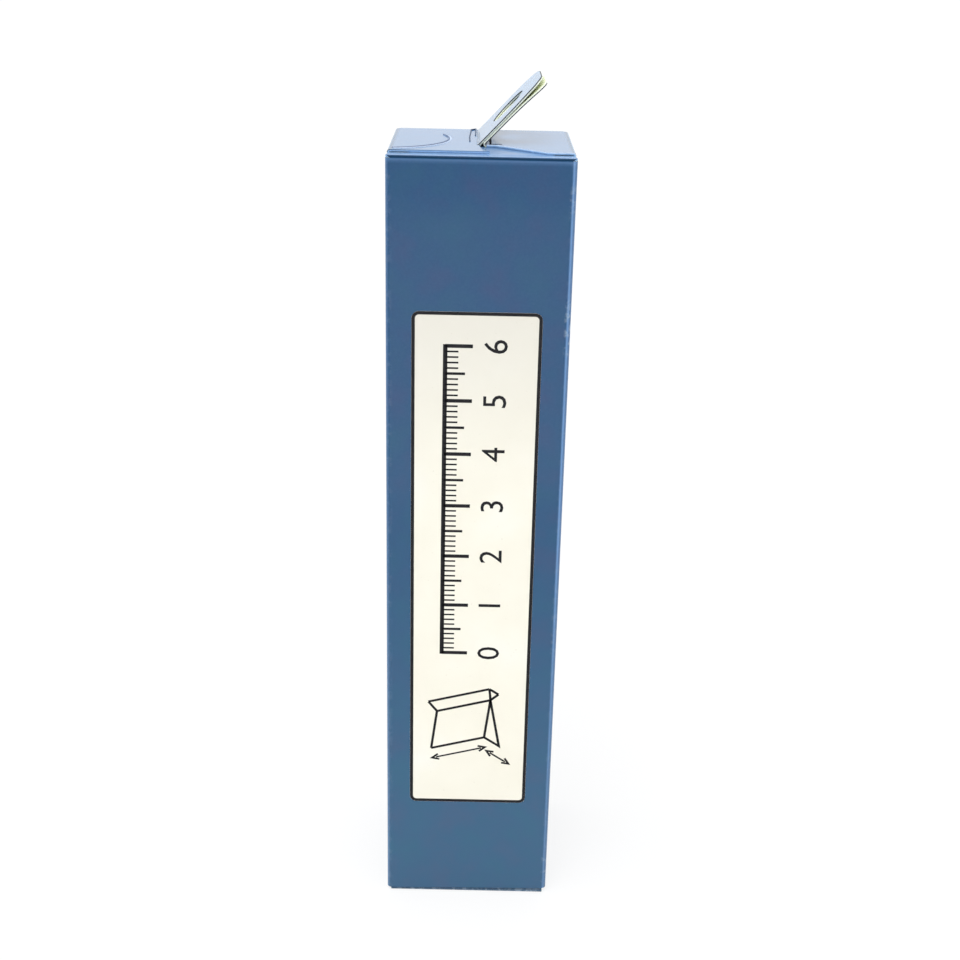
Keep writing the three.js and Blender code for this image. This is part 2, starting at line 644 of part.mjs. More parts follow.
// Thumb slider outside, its stem through the slot, and the pusher inside the channel
function buildSlider() {
  const middle = STEM_FOOT + STEM_LENGTH / 2;
  const foot = middle - KNOB_LENGTH / 2;
  const face = BODY_FRONT - PART_GAP;
  const peak = face - KNOB_HEIGHT;
  const shape = new THREE.Shape();
  shape.moveTo(face, foot);
  shape.lineTo(face, foot + KNOB_LENGTH);
  shape.quadraticCurveTo(peak, foot + KNOB_LENGTH, peak, foot + KNOB_LENGTH - KNOB_HEIGHT / 2);
  const run = KNOB_LENGTH - KNOB_HEIGHT;
  const ridge = run / KNOB_RIDGES;
  for (let i = 0; i < KNOB_RIDGES; i += 1) {
    const z = foot + KNOB_LENGTH - KNOB_HEIGHT / 2 - i * ridge;
    shape.lineTo(peak + KNOB_RIDGE_HEIGHT, z - ridge / 2);
    shape.lineTo(peak, z - ridge);
  }
  shape.quadraticCurveTo(peak, foot, face, foot);
  const knob = toSolid(drawAlongX(shape, -KNOB_WIDTH / 2, KNOB_WIDTH / 2));
  const stemHalf = SLOT_WIDTH / 2 - PART_GAP;
  const pusherFront = CHANNEL_FRONT + PART_GAP;
  const stem = block(
    -stemHalf,
    stemHalf,
    face - BOARD,
    pusherFront - JOINT_GAP,
    STEM_FOOT,
    STEM_FOOT + STEM_LENGTH,
  );
  add(dispenser, "thumb_slider", toGeometry(knob.add(toSolid(stem))), KNOB_PLASTIC);

  const half = CHANNEL_HALF_WIDTH - PART_GAP;
  const pusher = block(
    -half,
    half,
    pusherFront,
    CHANNEL_BACK - PART_GAP,
    PUSHER_TOP - PUSHER_LENGTH,
    PUSHER_TOP,
  );
  add(dispenser, "pusher", pusher, KNOB_PLASTIC);
}

// A clip: one bent sheet, with a flat base below, two sides closing to a throat, and flared lips.
// This is its section, drawn out to the given width and kept between two levels.
function clipSection(width, low, high) {
  const throat = CLIP_HEIGHT - CLIP_LIP_HEIGHT;
  const right = [
    [CLIP_BASE / 2, 0],
    [CLIP_MOUTH + CLIP_SHEET, throat],
    [CLIP_LIP_FLARE, CLIP_HEIGHT],
  ];
  const inner = [
    [CLIP_BASE / 2 - 1.4 * CLIP_SHEET, CLIP_SHEET],
    [CLIP_MOUTH, throat],
    [CLIP_LIP_FLARE - CLIP_SHEET, CLIP_HEIGHT],
  ];
  const mirrored = (points) => points.map(([a, b]) => [-a, b]);
  const section = toSolid(
    drawAlongX(
      outline([...right, ...inner.reverse(), ...mirrored(inner).reverse(), ...mirrored(right).reverse()]),
      -width / 2,
      width / 2,
    ),
  );
  return section.intersect(toSolid(block(-width, width, -CLIP_BASE, CLIP_BASE, low, high)));
}

function buildClips() {
  const throat = CLIP_HEIGHT - CLIP_LIP_HEIGHT;
  const legs = clipSection(CLIP_WIDTH, -CLIP_SHEET, throat + CLIP_SHEET);
  const lips = clipSection(CLIP_LIP_WIDTH, throat, CLIP_HEIGHT + CLIP_SHEET);
  const geometry = toGeometry(legs.add(lips));
  for (let i = 0; i < CLIP_COUNT; i += 1) {
    const clip = add(dispenser, `clip_${i + 1}`, geometry, STEEL);
    clip.position.set(0, CHANNEL_Y, CLIP_ROW_FOOT + i * CLIP_PITCH);
  }
}

buildWalls();
buildGlueFlap();
buildLabel();
buildTopFlaps();
buildHangTab();
buildTopDustFlaps();
buildBottomTuckFlap();
buildBottomDustFlaps();
buildShells();
buildScrews();
buildEndCap();
buildNozzle();
buildSlider();
buildClips();

const model = new THREE.Group();
model.add(carton, dispenser);

export default model;
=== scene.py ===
"""A paper clip dispenser in its hang-tab carton: its looks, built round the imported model.
Lengths are millimetres in the part's frame and become metres where a mesh is made."""
import math

import bmesh
import bpy
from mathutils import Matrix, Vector


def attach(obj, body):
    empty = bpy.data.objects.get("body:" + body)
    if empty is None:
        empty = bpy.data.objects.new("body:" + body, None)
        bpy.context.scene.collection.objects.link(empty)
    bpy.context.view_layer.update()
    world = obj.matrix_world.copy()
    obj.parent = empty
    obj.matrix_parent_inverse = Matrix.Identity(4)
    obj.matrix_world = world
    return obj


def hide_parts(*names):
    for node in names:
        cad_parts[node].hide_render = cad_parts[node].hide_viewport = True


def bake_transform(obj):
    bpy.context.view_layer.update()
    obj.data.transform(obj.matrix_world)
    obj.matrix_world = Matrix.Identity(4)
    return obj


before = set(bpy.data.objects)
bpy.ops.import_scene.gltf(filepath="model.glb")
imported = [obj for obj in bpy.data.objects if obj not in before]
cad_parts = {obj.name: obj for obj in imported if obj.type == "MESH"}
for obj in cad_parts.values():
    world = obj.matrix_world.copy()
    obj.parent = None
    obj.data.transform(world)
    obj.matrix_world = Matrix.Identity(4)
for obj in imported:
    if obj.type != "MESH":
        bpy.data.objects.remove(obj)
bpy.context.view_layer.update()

MM = 0.001
X = Vector((1, 0, 0))
Y = Vector((0, 1, 0))
Z = Vector((0, 0, 1))

# Carton
HALF = 16.0  # half the width and half the depth, to the outer faces
BOARD = 0.42
EDGE_ROLL = 0.09  # how far a die-cut edge is rolled in on each face
ROLL_DEPTH = 0.13
SHARP = 35  # degrees between faces, from which an edge is drawn sharp
EASED_SHARP = 40  # the same for a solid whose edges have been eased
FOLD_RADIUS = 0.9  # upright folds, outer face
CREASE_RADIUS = 0.5  # creases of the flaps, outer face
SIDE_TOP = 146.6
FRONT_TOP = 146.56  # the front crease stands a board higher than the back one
BACK_TOP = 146.13
SIDE_FOOT = 0.97
FRONT_FOOT_LEFT = 0.7
FRONT_FOOT_RIGHT = 1.1
BACK_FOOT = 0.5
LAYER = 0.47  # one board and the gap to the next layer
FLAP_TOP = SIDE_TOP + CREASE_RADIUS
FLAP_FRONT = -10.4
FLAP_BACK = 15.6
DUST_LENGTH = HALF - 0.5  # the two leave a gap of 1 between their tips
DUST_HALF = 15.3
CREASE_HALF = 15.0
DUST_TAPER = 0.55  # how fast each side of a dust flap runs in towards its tip
FRONT_DROOP = 4.8  # degrees below level, just past the crease
BACK_DROOP = 1.5
TAB_NEAR = -3.1  # the tab's front and back edges, as y
TAB_FAR = 15.4
HOLE_RADIUS = 3.6
HOLE_ALONG = 7.3  # from the ply's foot to the hanging hole's middle
HOLE_Y = 6.15
HOLE_STEPS = 44
CURVE_STEPS = 14  # in the curved front edge of a closing flap
MID_HEIGHT = 73.5  # where the walls are drawn in most
SIDE_BOW = 0.22
BACK_BOW = 0.18
WALL_REACH = HALF - FOLD_RADIUS  # from the carton's middle to where a fold begins
BACK_CORNER = 1.1  # how far a closing flap's back corner is cut in

# Where each ply leaves its flap, and how it bends up: its turn at the bend and its curl above, in degrees
PLY_START_LEFT = -0.79
PLY_START_RIGHT = 0.811
PLY_LEFT = {"length": 15.5, "turn": 46.4, "radius": 0.3, "bend_end": -0.117, "curl": 2.8}
PLY_RIGHT = {"length": 14.9, "turn": 134.0, "radius": 0.1, "bend_end": 0.37, "curl": 5.0}
PLY_ROLL_DEPTH = 0.19

# Label
LABEL_LEFT = -11.5
LABEL_RIGHT = 11.15
LABEL_FOOT = 21.4
LABEL_TOP = 120.7
LABEL_CORNER = 1.3
CORNER_STEPS = 8
LABEL_PROUD = 0.04
BORDER = 0.62
INK_PROUD = 0.02
SUNK = 0.01  # how deep a line's foot sits in the face under it
RULER_X = -5.6
RULER_FOOT = 54.6
RULER_LENGTH = 60
RULER_BASE = 0.8  # the base line's width
RULER_OVERRUN = 0.3  # how far it runs past the first and last tick
RULER_TICKS = ((10, 4.8, 0.7), (5, 3.5, 0.5), (1, 2.3, 0.34))  # every so many millimetres, length, width
FIGURE_SIZE = 5.9
FIGURE_FOOT = 10.8  # from the ruler's base line to the figures' feet
CLIP_LINE = 0.5
ARROW_LINE = 0.36
BARB_LINE = 0.42


# Paths and flat outlines
def bent_path(start, heading, runs):
    """The outer face of bent board, from runs of (straight length, turn in degrees, radius).
    Returns at(s), which gives a point and its outward normal, and the marks where runs meet."""
    pieces = []
    marks = []
    x, y = start
    angle = math.radians(heading)
    s = 0.0
    for length, turn, radius in runs:
        pieces.append((s, x, y, angle, 0.0))
        x += length * math.cos(angle)
        y += length * math.sin(angle)
        s += length
        marks.append(s)
        if turn:
            curvature = math.copysign(1 / radius, turn)
            pieces.append((s, x, y, angle, curvature))
            turned = angle + math.radians(turn)
            x += (math.sin(turned) - math.sin(angle)) / curvature
            y -= (math.cos(turned) - math.cos(angle)) / curvature
            angle = turned
            s += radius * abs(math.radians(turn))
            marks.append(s)

    def at(s):
        begun = [piece for piece in pieces if piece[0] <= s + 1e-9]
        s0, x0, y0, angle0, curvature = begun[-1] if begun else pieces[0]
        turned = angle0 + curvature * (s - s0)
        if curvature:
            px = x0 + (math.sin(turned) - math.sin(angle0)) / curvature
            py = y0 - (math.cos(turned) - math.cos(angle0)) / curvature
        else:
            px = x0 + (s - s0) * math.cos(angle0)
            py = y0 + (s - s0) * math.sin(angle0)
        return (px, py), (-math.sin(turned), math.cos(turned))

    return at, marks


def clamped(value):
    return min(1.0, max(0.0, value))


def steps(first, last, count):
    return [first + (last - first) * i / count for i in range(count + 1)]


def arc(centre, radius, start, end, count):
    """Points of an arc, its angles in degrees."""
    return [
        (centre[0] + radius * math.cos(math.radians(a)), centre[1] + radius * math.sin(math.radians(a)))
        for a in steps(start, end, count)
    ]


def quadratic(start, control, end, count):
    """Points of a quadratic curve, without its start."""
    points = []
    for t in steps(0, 1, count)[1:]:
        a, b, c = (1 - t) ** 2, 2 * t * (1 - t), t * t
        points.append(tuple(a * p + b * q + c * r for p, q, r in zip(start, control, end)))
    return points


def rounded_box(left, right, low, high, radius):
    points = []
    for centre, start in (
        ((right - radius, high - radius), 0),
        ((left + radius, high - radius), 90),
        ((left + radius, low + radius), 180),
        ((right - radius, low + radius), 270),
    ):
        points += arc(centre, radius, start, start + 90, CORNER_STEPS)
    return points


# Board
def triangulated(rims, s_lines, w_lines):
    """A flat mesh of the first rim less the others, cut along the given lines."""
    bm = bmesh.new()
    edges = []
    for rim in rims:
        verts = [bm.verts.new((s, w, 0)) for s, w in rim]
        edges += [bm.edges.new(pair) for pair in zip(verts, verts[1:] + verts[:1])]
    bmesh.ops.triangle_fill(bm, use_beauty=True, edges=edges)
    for normal, lines in (((1, 0, 0), s_lines), ((0, 1, 0), w_lines)):
        for line in lines:
            whole = bm.verts[:] + bm.edges[:] + bm.faces[:]
            middle = [n * line for n in normal]
            bmesh.ops.bisect_plane(bm, geom=whole, dist=1e-5, plane_co=middle, plane_no=normal)
    bm.normal_update()
    for face in bm.faces:
        if face.normal.z < 0:
            face.normal_flip()
    bm.verts.index_update()
    return bm


def rim_edges(bm):
    """The boundary's edges, each with the mesh on its left."""
    found = []
    for edge in bm.edges:
        if edge.is_boundary:
            loop = edge.link_loops[0]
            found.append((loop.vert.index, loop.link_loop_next.vert.index))
    return found


def sheet(
    name, rims, at, axes, s_lines=(), w_lines=(), thickness=BOARD, butt=None, bow=None, shift=None,
    marks=None, edge=None, roll_depth=ROLL_DEPTH,
):
    """A sheet of board as a mesh. rims hold the outline and its holes in the flat, as s across the
    creases and w along them. at(s) and the axes bend it into its place. butt(s, w) is true where
    it runs on into the next sheet, so that its edge isn't rolled there. bow draws it in along its
    normal, shift moves it across its creases, and edge holds the materials of the roll and core."""
    bm = triangulated(rims, s_lines, w_lines)
    flat = [Vector((v.co.x, v.co.y)) for v in bm.verts]
    faces = [[v.index for v in face.verts] for face in bm.faces]
    rim = rim_edges(bm)
    bm.free()

    outward = {}
    for a, b in rim:
        run = (flat[b] - flat[a]).normalized()
        for i in (a, b):
            outward[i] = outward.get(i, Vector((0, 0))) + Vector((run.y, -run.x))

    along, up, across = axes

    def place(s, w, depth):
        (a, b), (na, nb) = at(s)
        if bow:
            depth += bow(s, w)
        if shift:
            a, b = a + shift(s, w)[0], b + shift(s, w)[1]
        return along * (a - depth * na) + up * (b - depth * nb) + across * w

    verts = []
    layers = []
    for i, (s, w) in enumerate(flat):
        ease = Vector((0, 0))
        if i in outward and not (butt and butt(s, w)):
            ease = outward[i].normalized() * min(EDGE_ROLL, thickness / 4)
        inner = (s - ease.x, w - ease.y)
        spots = [(*inner, 0.0), (*inner, thickness)]
        if i in outward:
            roll = min(roll_depth, thickness / 2.2)
            spots[1:1] = [(s, w, roll), (s, w, thickness - roll)]
        layers.append([len(verts) + k for k in range(len(spots))])
        verts += spots

    polygons = [[layers[i][0] for i in face] for face in faces]
    kinds = [0] * len(faces)
    polygons += [[layers[i][-1] for i in reversed(face)] for face in faces]
    kinds += [1] * len(faces)
    for a, b in rim:
        for k in range(3):
            polygons.append([layers[b][k], layers[a][k], layers[a][k + 1], layers[b][k + 1]])
            kinds.append((2, 3, 3)[k])
    if along.cross(across).dot(up) < 0:
        polygons = [polygon[::-1] for polygon in polygons]

    mesh = bpy.data.meshes.new(name)
    mesh.from_pydata([place(*spot) * MM for spot in verts], [], polygons)
    # by default a cut edge's core takes CUT_SHADED, painted shade
    for material in (PRINTED, PLAIN) + (edge or (CUT, CUT_SHADED)):
        mesh.materials.append(material)
    mesh.polygons.foreach_set("material_index", kinds)
    # crease holds painted shade, pale painted highlight, and wear the rubbed places
    for kind in ("crease", "wear", "pale"):
        layer = mesh.attributes.new(kind, "FLOAT", "POINT")
        values = [marks(s, w).get(kind, 0.0) if marks else 0.0 for s, w, depth in verts]
        layer.data.foreach_set("value", values)
    return finished(name, mesh)


def finished(name, mesh):
    mesh.polygons.foreach_set("use_smooth", [True] * len(mesh.polygons))
    mesh.set_sharp_from_angle(angle=math.radians(SHARP))
    mesh.update()
    piece = bpy.data.objects.new(name, mesh)
    bpy.context.scene.collection.objects.link(piece)
    return piece


# Materials
def material_of(name, roughness=0.5, **more):
    made = bpy.data.materials.new(name)
    made.use_nodes = True
    shader = made.node_tree.nodes["Principled BSDF"]
    shader.inputs["Roughness"].default_value = roughness
    for socket, value in more.items():
        shader.inputs[socket.replace("_", " ")].default_value = value
    return made, made.node_tree, shader


def noise(tree, scale, detail=3, stretch=(1, 1, 1), roughness=0.5):
    """Noise in the piece's own coordinates. scale counts features to the metre."""
    coords = tree.nodes.new("ShaderNodeTexCoord")
    mapping = tree.nodes.new("ShaderNodeMapping")
    mapping.inputs["Scale"].default_value = stretch
    texture = tree.nodes.new("ShaderNodeTexNoise")
    texture.inputs["Scale"].default_value = scale
    texture.inputs["Detail"].default_value = detail
    texture.inputs["Roughness"].default_value = roughness
    tree.links.new(coords.outputs["Object"], mapping.inputs["Vector"])
    tree.links.new(mapping.outputs["Vector"], texture.inputs["Vector"])
    return texture.outputs["Fac"]


def ramp(tree, factor, stops):
    """A colour for each factor. A stop is a place and a colour or a grey."""
    made = tree.nodes.new("ShaderNodeValToRGB")
    elements = made.color_ramp.elements
    while len(elements) < len(stops):
        elements.new(0.5)
    for element, (place, colour) in zip(elements, stops):
        element.position = place
        grey = isinstance(colour, (int, float))
        element.color = (colour,) * 3 + (1,) if grey else (*colour, 1)
    tree.links.new(factor, made.inputs["Fac"])
    return made.outputs["Color"]


def mixed(tree, factor, first, second):
    """first and second are sockets or colours."""
    made = tree.nodes.new("ShaderNodeMix")
    made.data_type = "RGBA"
    for index, value in ((6, first), (7, second)):
        if isinstance(value, tuple):
            made.inputs[index].default_value = (*value, 1)
        else:
            tree.links.new(value, made.inputs[index])
    tree.links.new(factor, made.inputs[0])
    return made.outputs[2]


def product(tree, first, second):
    made = tree.nodes.new("ShaderNodeMath")
    made.operation = "MULTIPLY"
    for index, value in enumerate((first, second)):
        if isinstance(value, (int, float)):
            made.inputs[index].default_value = value
        else:
            tree.links.new(value, made.inputs[index])
    return made.outputs[0]


def height_share(tree, low, high):
    """0 below one height of the piece and 1 above the other, in metres."""
    coords = tree.nodes.new("ShaderNodeTexCoord")
    split = tree.nodes.new("ShaderNodeSeparateXYZ")
    share = tree.nodes.new("ShaderNodeMapRange")
    share.interpolation_type = "SMOOTHSTEP"
    share.inputs["From Min"].default_value = low
    share.inputs["From Max"].default_value = high
    tree.links.new(coords.outputs["Object"], split.inputs["Vector"])
    tree.links.new(split.outputs["Z"], share.inputs["Value"])
    return share.outputs["Result"]


def attribute(tree, name):
    made = tree.nodes.new("ShaderNodeAttribute")
    made.attribute_name = name
    return made.outputs["Fac"]


def bumped(tree, shader, height, strength, distance):
    made = tree.nodes.new("ShaderNodeBump")
    made.inputs["Strength"].default_value = strength
    made.inputs["Distance"].default_value = distance
    tree.links.new(height, made.inputs["Height"])
    before = shader.inputs["Normal"]
    if before.is_linked:
        tree.links.new(before.links[0].from_socket, made.inputs["Normal"])
    tree.links.new(made.outputs["Normal"], shader.inputs["Normal"])


def printed_board(name, greying=0.0, gloss=1.0, pale=(0.16, 0.31, 0.58)):
    """Blue print under a thin gloss varnish, with painted shade along the creases, rubbed on the folds, and
    lighter and redder towards the foot as painted glare.
    greying is how far it is greyed towards a light grey, which on the tab is painted glare, gloss how much
    of the varnish is left, and pale the colour of the painted highlights."""
    made, tree, shader = material_of(
        name, IOR=1.3, Specular_IOR_Level=0.5 * gloss,
        Coat_Weight=0.7 * gloss, Coat_IOR=1.3, Coat_Roughness=0.1,
        Sheen_Weight=0.42 * gloss, Sheen_Roughness=0.3, Sheen_Tint=(0.22, 0.58, 1.0, 1),
    )
    # Two blues blended by height: the lighter, redder one towards the foot is painted glare
    deep = ramp(
        tree,
        noise(tree, 130, 3),
        [(0.3, (0.020, 0.062, 0.162)), (0.5, (0.010, 0.066, 0.166)), (0.72, (0.010, 0.076, 0.162))],
    )
    lower_tone = ramp(
        tree,
        noise(tree, 130, 3),
        [(0.3, (0.044, 0.102, 0.194)), (0.5, (0.034, 0.106, 0.200)), (0.72, (0.030, 0.114, 0.198))],
    )
    blues = mixed(tree, height_share(tree, 0.012, 0.120), lower_tone, deep)
    speckles = ramp(tree, noise(tree, 2600, 2), [(0.35, 0.0), (0.8, 0.2)])
    speckled = mixed(tree, speckles, blues, (0.03, 0.1, 0.22))
    # painted shade along the creases
    crease_shade = mixed(tree, attribute(tree, "crease"), speckled, (0.001, 0.020, 0.052))
    # painted highlights, where the marks ask for them
    paled = mixed(tree, attribute(tree, "pale"), crease_shade, pale)
    patches = ramp(tree, noise(tree, 700, 5, roughness=0.7), [(0.50, 0.0), (0.60, 1.0)])
    rubbed = mixed(tree, product(tree, attribute(tree, "wear"), patches), paled, (0.42, 0.52, 0.62))
    # greyed towards a light grey; on the tab this is painted glare
    greying_share = ramp(tree, noise(tree, 400, 3), [(0.3, 0.85 * greying), (0.7, greying)])
    dulled = mixed(tree, greying_share, rubbed, (0.56, 0.60, 0.62))
    tree.links.new(dulled, shader.inputs["Base Color"])
    varnish = ramp(tree, noise(tree, 260, 4), [(0.3, 0.14), (0.75, 0.24)])
    tree.links.new(varnish, shader.inputs["Roughness"])
    bumped(tree, shader, noise(tree, 90, 2), 0.10, 0.0004)
    bumped(tree, shader, noise(tree, 2200, 3), 0.05, 0.00005)
    return made


def plain_board():
    """The unprinted inner face: pulp with fibres and a few darker specks."""
    made, tree, shader = material_of("plain_board", roughness=0.85)
    fibres = noise(tree, 900, 5, stretch=(1, 1, 0.25), roughness=0.7)
    pulp = ramp(tree, fibres, [(0.3, (0.60, 0.58, 0.46)), (0.7, (0.74, 0.72, 0.60))])
    specks = ramp(tree, noise(tree, 2400, 2), [(0.68, 0.0), (0.74, 0.5)])
    tree.links.new(mixed(tree, specks, pulp, (0.34, 0.30, 0.22)), shader.inputs["Base Color"])
    bumped(tree, shader, fibres, 0.2, 0.0001)
    return made


def cut_board(name, low, high):
    """A cut edge: the layered core."""
    made, tree, shader = material_of(name, roughness=0.8)
    layers = noise(tree, 1500, 4, stretch=(1, 1, 1.6), roughness=0.6)
    tree.links.new(ramp(tree, layers, [(0.3, low), (0.7, high)]), shader.inputs["Base Color"])
    bumped(tree, shader, layers, 0.3, 0.00008)
    return made


def label_paper():
    made, tree, shader = material_of("label_paper", IOR=1.5, Coat_Weight=0.3, Coat_Roughness=0.2)
    lower_tone = ramp(
        tree,
        noise(tree, 60, 3),
        [(0.3, (0.84, 0.80, 0.68)), (0.55, (0.87, 0.835, 0.72)), (0.75, (0.885, 0.86, 0.78))],
    )
    # darker higher up on the label: painted shade
    upper = mixed(tree, height_share(tree, 0.080, 0.128), lower_tone, (0.73, 0.70, 0.62))
    specks = ramp(tree, noise(tree, 1900, 2), [(0.72, 0.0), (0.78, 0.25)])
    tree.links.new(mixed(tree, specks, upper, (0.5, 0.44, 0.34)), shader.inputs["Base Color"])
    tree.links.new(ramp(tree, noise(tree, 300, 3), [(0.3, 0.3), (0.7, 0.42)]), shader.inputs["Roughness"])
    bumped(tree, shader, noise(tree, 2000, 3), 0.06, 0.00005)
    return made


def black_ink():
    made, tree, shader = material_of("black_ink", Specular_IOR_Level=0.2)
    ink = ramp(tree, noise(tree, 900, 4), [(0.3, (0.004, 0.004, 0.006)), (0.75, (0.013, 0.012, 0.015))])
    tree.links.new(ink, shader.inputs["Base Color"])
    tree.links.new(ramp(tree, noise(tree, 500, 3), [(0.3, 0.32), (0.7, 0.5)]), shader.inputs["Roughness"])
    bumped(tree, shader, noise(tree, 2500, 3), 0.1, 0.00003)
    return made


def pressed_line(name, low, high):
    """A matt line on the print, which has lost its gloss: the thumb cut's edge, the bead by the tab, and
    lines of painted shade and painted highlight.
    """
    made, tree, shader = material_of(name, Specular_IOR_Level=0.1)
    tree.links.new(ramp(tree, noise(tree, 800, 4), [(0.3, low), (0.7, high)]), shader.inputs["Base Color"])
    tree.links.new(ramp(tree, noise(tree, 600, 2), [(0.3, 0.8), (0.7, 0.95)]), shader.inputs["Roughness"])
    bumped(tree, shader, noise(tree, 1800, 3), 0.2, 0.00004)
    return made


def shell_plastic():
    made, tree, shader = material_of("shell_plastic", IOR=1.47)
    tone = ramp(tree, noise(tree, 80, 3), [(0.3, (0.022, 0.024, 0.028)), (0.7, (0.030, 0.032, 0.037))])
    tree.links.new(tone, shader.inputs["Base Color"])
    tree.links.new(ramp(tree, noise(tree, 400, 3), [(0.3, 0.42), (0.7, 0.56)]), shader.inputs["Roughness"])
    bumped(tree, shader, noise(tree, 3200, 2), 0.25, 0.00006)
    return made


def blue_plastic():
    made, tree, shader = material_of("blue_plastic", IOR=1.5, Coat_Weight=0.3, Coat_Roughness=0.1)
    tone = ramp(tree, noise(tree, 70, 2), [(0.3, (0.016, 0.115, 0.37)), (0.7, (0.022, 0.140, 0.42))])
    tree.links.new(tone, shader.inputs["Base Color"])
    tree.links.new(ramp(tree, noise(tree, 300, 3), [(0.3, 0.2), (0.7, 0.34)]), shader.inputs["Roughness"])
    bumped(tree, shader, noise(tree, 1500, 2), 0.06, 0.00005)
    return made


def spring_steel():
    made, tree, shader = material_of("spring_steel", Metallic=1.0)
    grain = noise(tree, 1400, 4, stretch=(0.08, 1, 1), roughness=0.7)
    tone = ramp(tree, grain, [(0.3, (0.44, 0.45, 0.47)), (0.7, (0.60, 0.61, 0.62))])
    tree.links.new(tone, shader.inputs["Base Color"])
    tree.links.new(ramp(tree, grain, [(0.3, 0.22), (0.7, 0.38)]), shader.inputs["Roughness"])
    bumped(tree, shader, grain, 0.1, 0.00003)
    return made


PRINTED = printed_board("printed_board")
# The tab's print is greyed strongly towards white under more varnish: the greying is painted glare
PRINTED_TAB = printed_board("printed_tab", 0.65, 1.4)
PRINTED_FOLD = printed_board("printed_fold", 0.12, 0.1)
# For the strip in front of the closing flaps: a lighter painted highlight colour, painted glare
PRINTED_STRIP = printed_board("printed_strip", 0.0, 0.25, (0.22, 0.36, 0.60))
PLAIN = plain_board()
CUT = cut_board("cut_board", (0.60, 0.66, 0.62), (0.80, 0.86, 0.80))
# The lower core of a cut edge, darker and bluer than the roll: painted shade
CUT_SHADED = cut_board("cut_board_shaded", (0.30, 0.50, 0.76), (0.42, 0.64, 0.90))
# A light blue roll for the right closing flap's edge: painted highlight
CUT_ROLLED = cut_board("rolled_edge_highlight", (0.46, 0.60, 0.80), (0.58, 0.71, 0.90))
CORE = cut_board("board_core", (0.76, 0.81, 0.64), (0.92, 0.95, 0.82))
PLY_INSIDE = cut_board("ply_inside", (0.74, 0.79, 0.56), (0.88, 0.92, 0.70))
PRINT_EDGE = cut_board("print_edge", (0.03, 0.035, 0.045), (0.07, 0.075, 0.09))
LABEL = label_paper()
INK = black_ink()
# Slate for the thumb cut's raised edge: painted shade of the cut
CUT_LINE = pressed_line("cut_line", (0.22, 0.27, 0.38), (0.32, 0.38, 0.50))
BEAD_DARK = pressed_line("bead_dark", (0.09, 0.12, 0.18), (0.16, 0.20, 0.27))
# Near black: painted shade in the hollow under the right ply
PAINTED_SHADE = pressed_line("shade_line", (0.004, 0.006, 0.015), (0.012, 0.018, 0.035))
# A light line beside the thumb cut's edge: painted highlight
HIGHLIGHT_LINE = pressed_line("painted_highlight_line", (0.50, 0.60, 0.76), (0.66, 0.74, 0.88))
SHELL = shell_plastic()
BLUE = blue_plastic()
STEEL = spring_steel()


# Carton pieces
def near(value, centre, width):
    """1 at the centre, falling to 0 at width from it."""
    return max(0.0, 1 - abs(value - centre) / width)


def sleeve_path():
    """The sleeve's section, from the back wall's free edge round to the glue flap's end."""
    free_edge = -15.7
    glue_fold = HALF - LAYER - FOLD_RADIUS  # where the left wall starts to turn in behind the back wall
    glue_end = -4.68
    return bent_path(
        (free_edge, HALF),
        0,
        [
            (WALL_REACH - free_edge, -90, FOLD_RADIUS),
            (2 * WALL_REACH, -90, FOLD_RADIUS),
            (2 * WALL_REACH, -90, FOLD_RADIUS),
            (WALL_REACH + glue_fold, -90, FOLD_RADIUS),
            (glue_end + WALL_REACH, 0, 0),
        ],
    )


def sleeve_rim(ends):
    """The sleeve's outline in the flat: along its foot, round the glue flap and back along its top."""
    right_start, right_end = ends[1], ends[2]
    left_start, left_end = ends[5], ends[6]
    glue_start, last = ends[7], ends[8]
    glue_low, glue_high, slope = 8.0, 139.1, 5.0
    glue_step = 0.3
    foot_slope = 3  # over which a side wall's foot runs into the front wall's
    return [
        (0, BACK_FOOT),
        (right_start, BACK_FOOT),
        (right_start, SIDE_FOOT),
        (right_end - foot_slope, SIDE_FOOT),
        (right_end, FRONT_FOOT_RIGHT),
        (ends[3], FRONT_FOOT_RIGHT),
        (ends[4], FRONT_FOOT_LEFT),
        (left_start, FRONT_FOOT_LEFT),
        (left_start + foot_slope, SIDE_FOOT),
        (left_end, SIDE_FOOT),
        (left_end + glue_step, glue_low),
        (glue_start, glue_low),
        (last, glue_low + slope),
        (last, glue_high - slope),
        (glue_start, glue_high),
        (left_end + glue_step, glue_high),
        (left_end, SIDE_TOP),
        (left_start, SIDE_TOP),
        (left_start, FRONT_TOP),
        (right_end, FRONT_TOP),
        (right_end, SIDE_TOP),
        (right_start, SIDE_TOP),
        (right_start, BACK_TOP),
        (0, BACK_TOP),
    ]


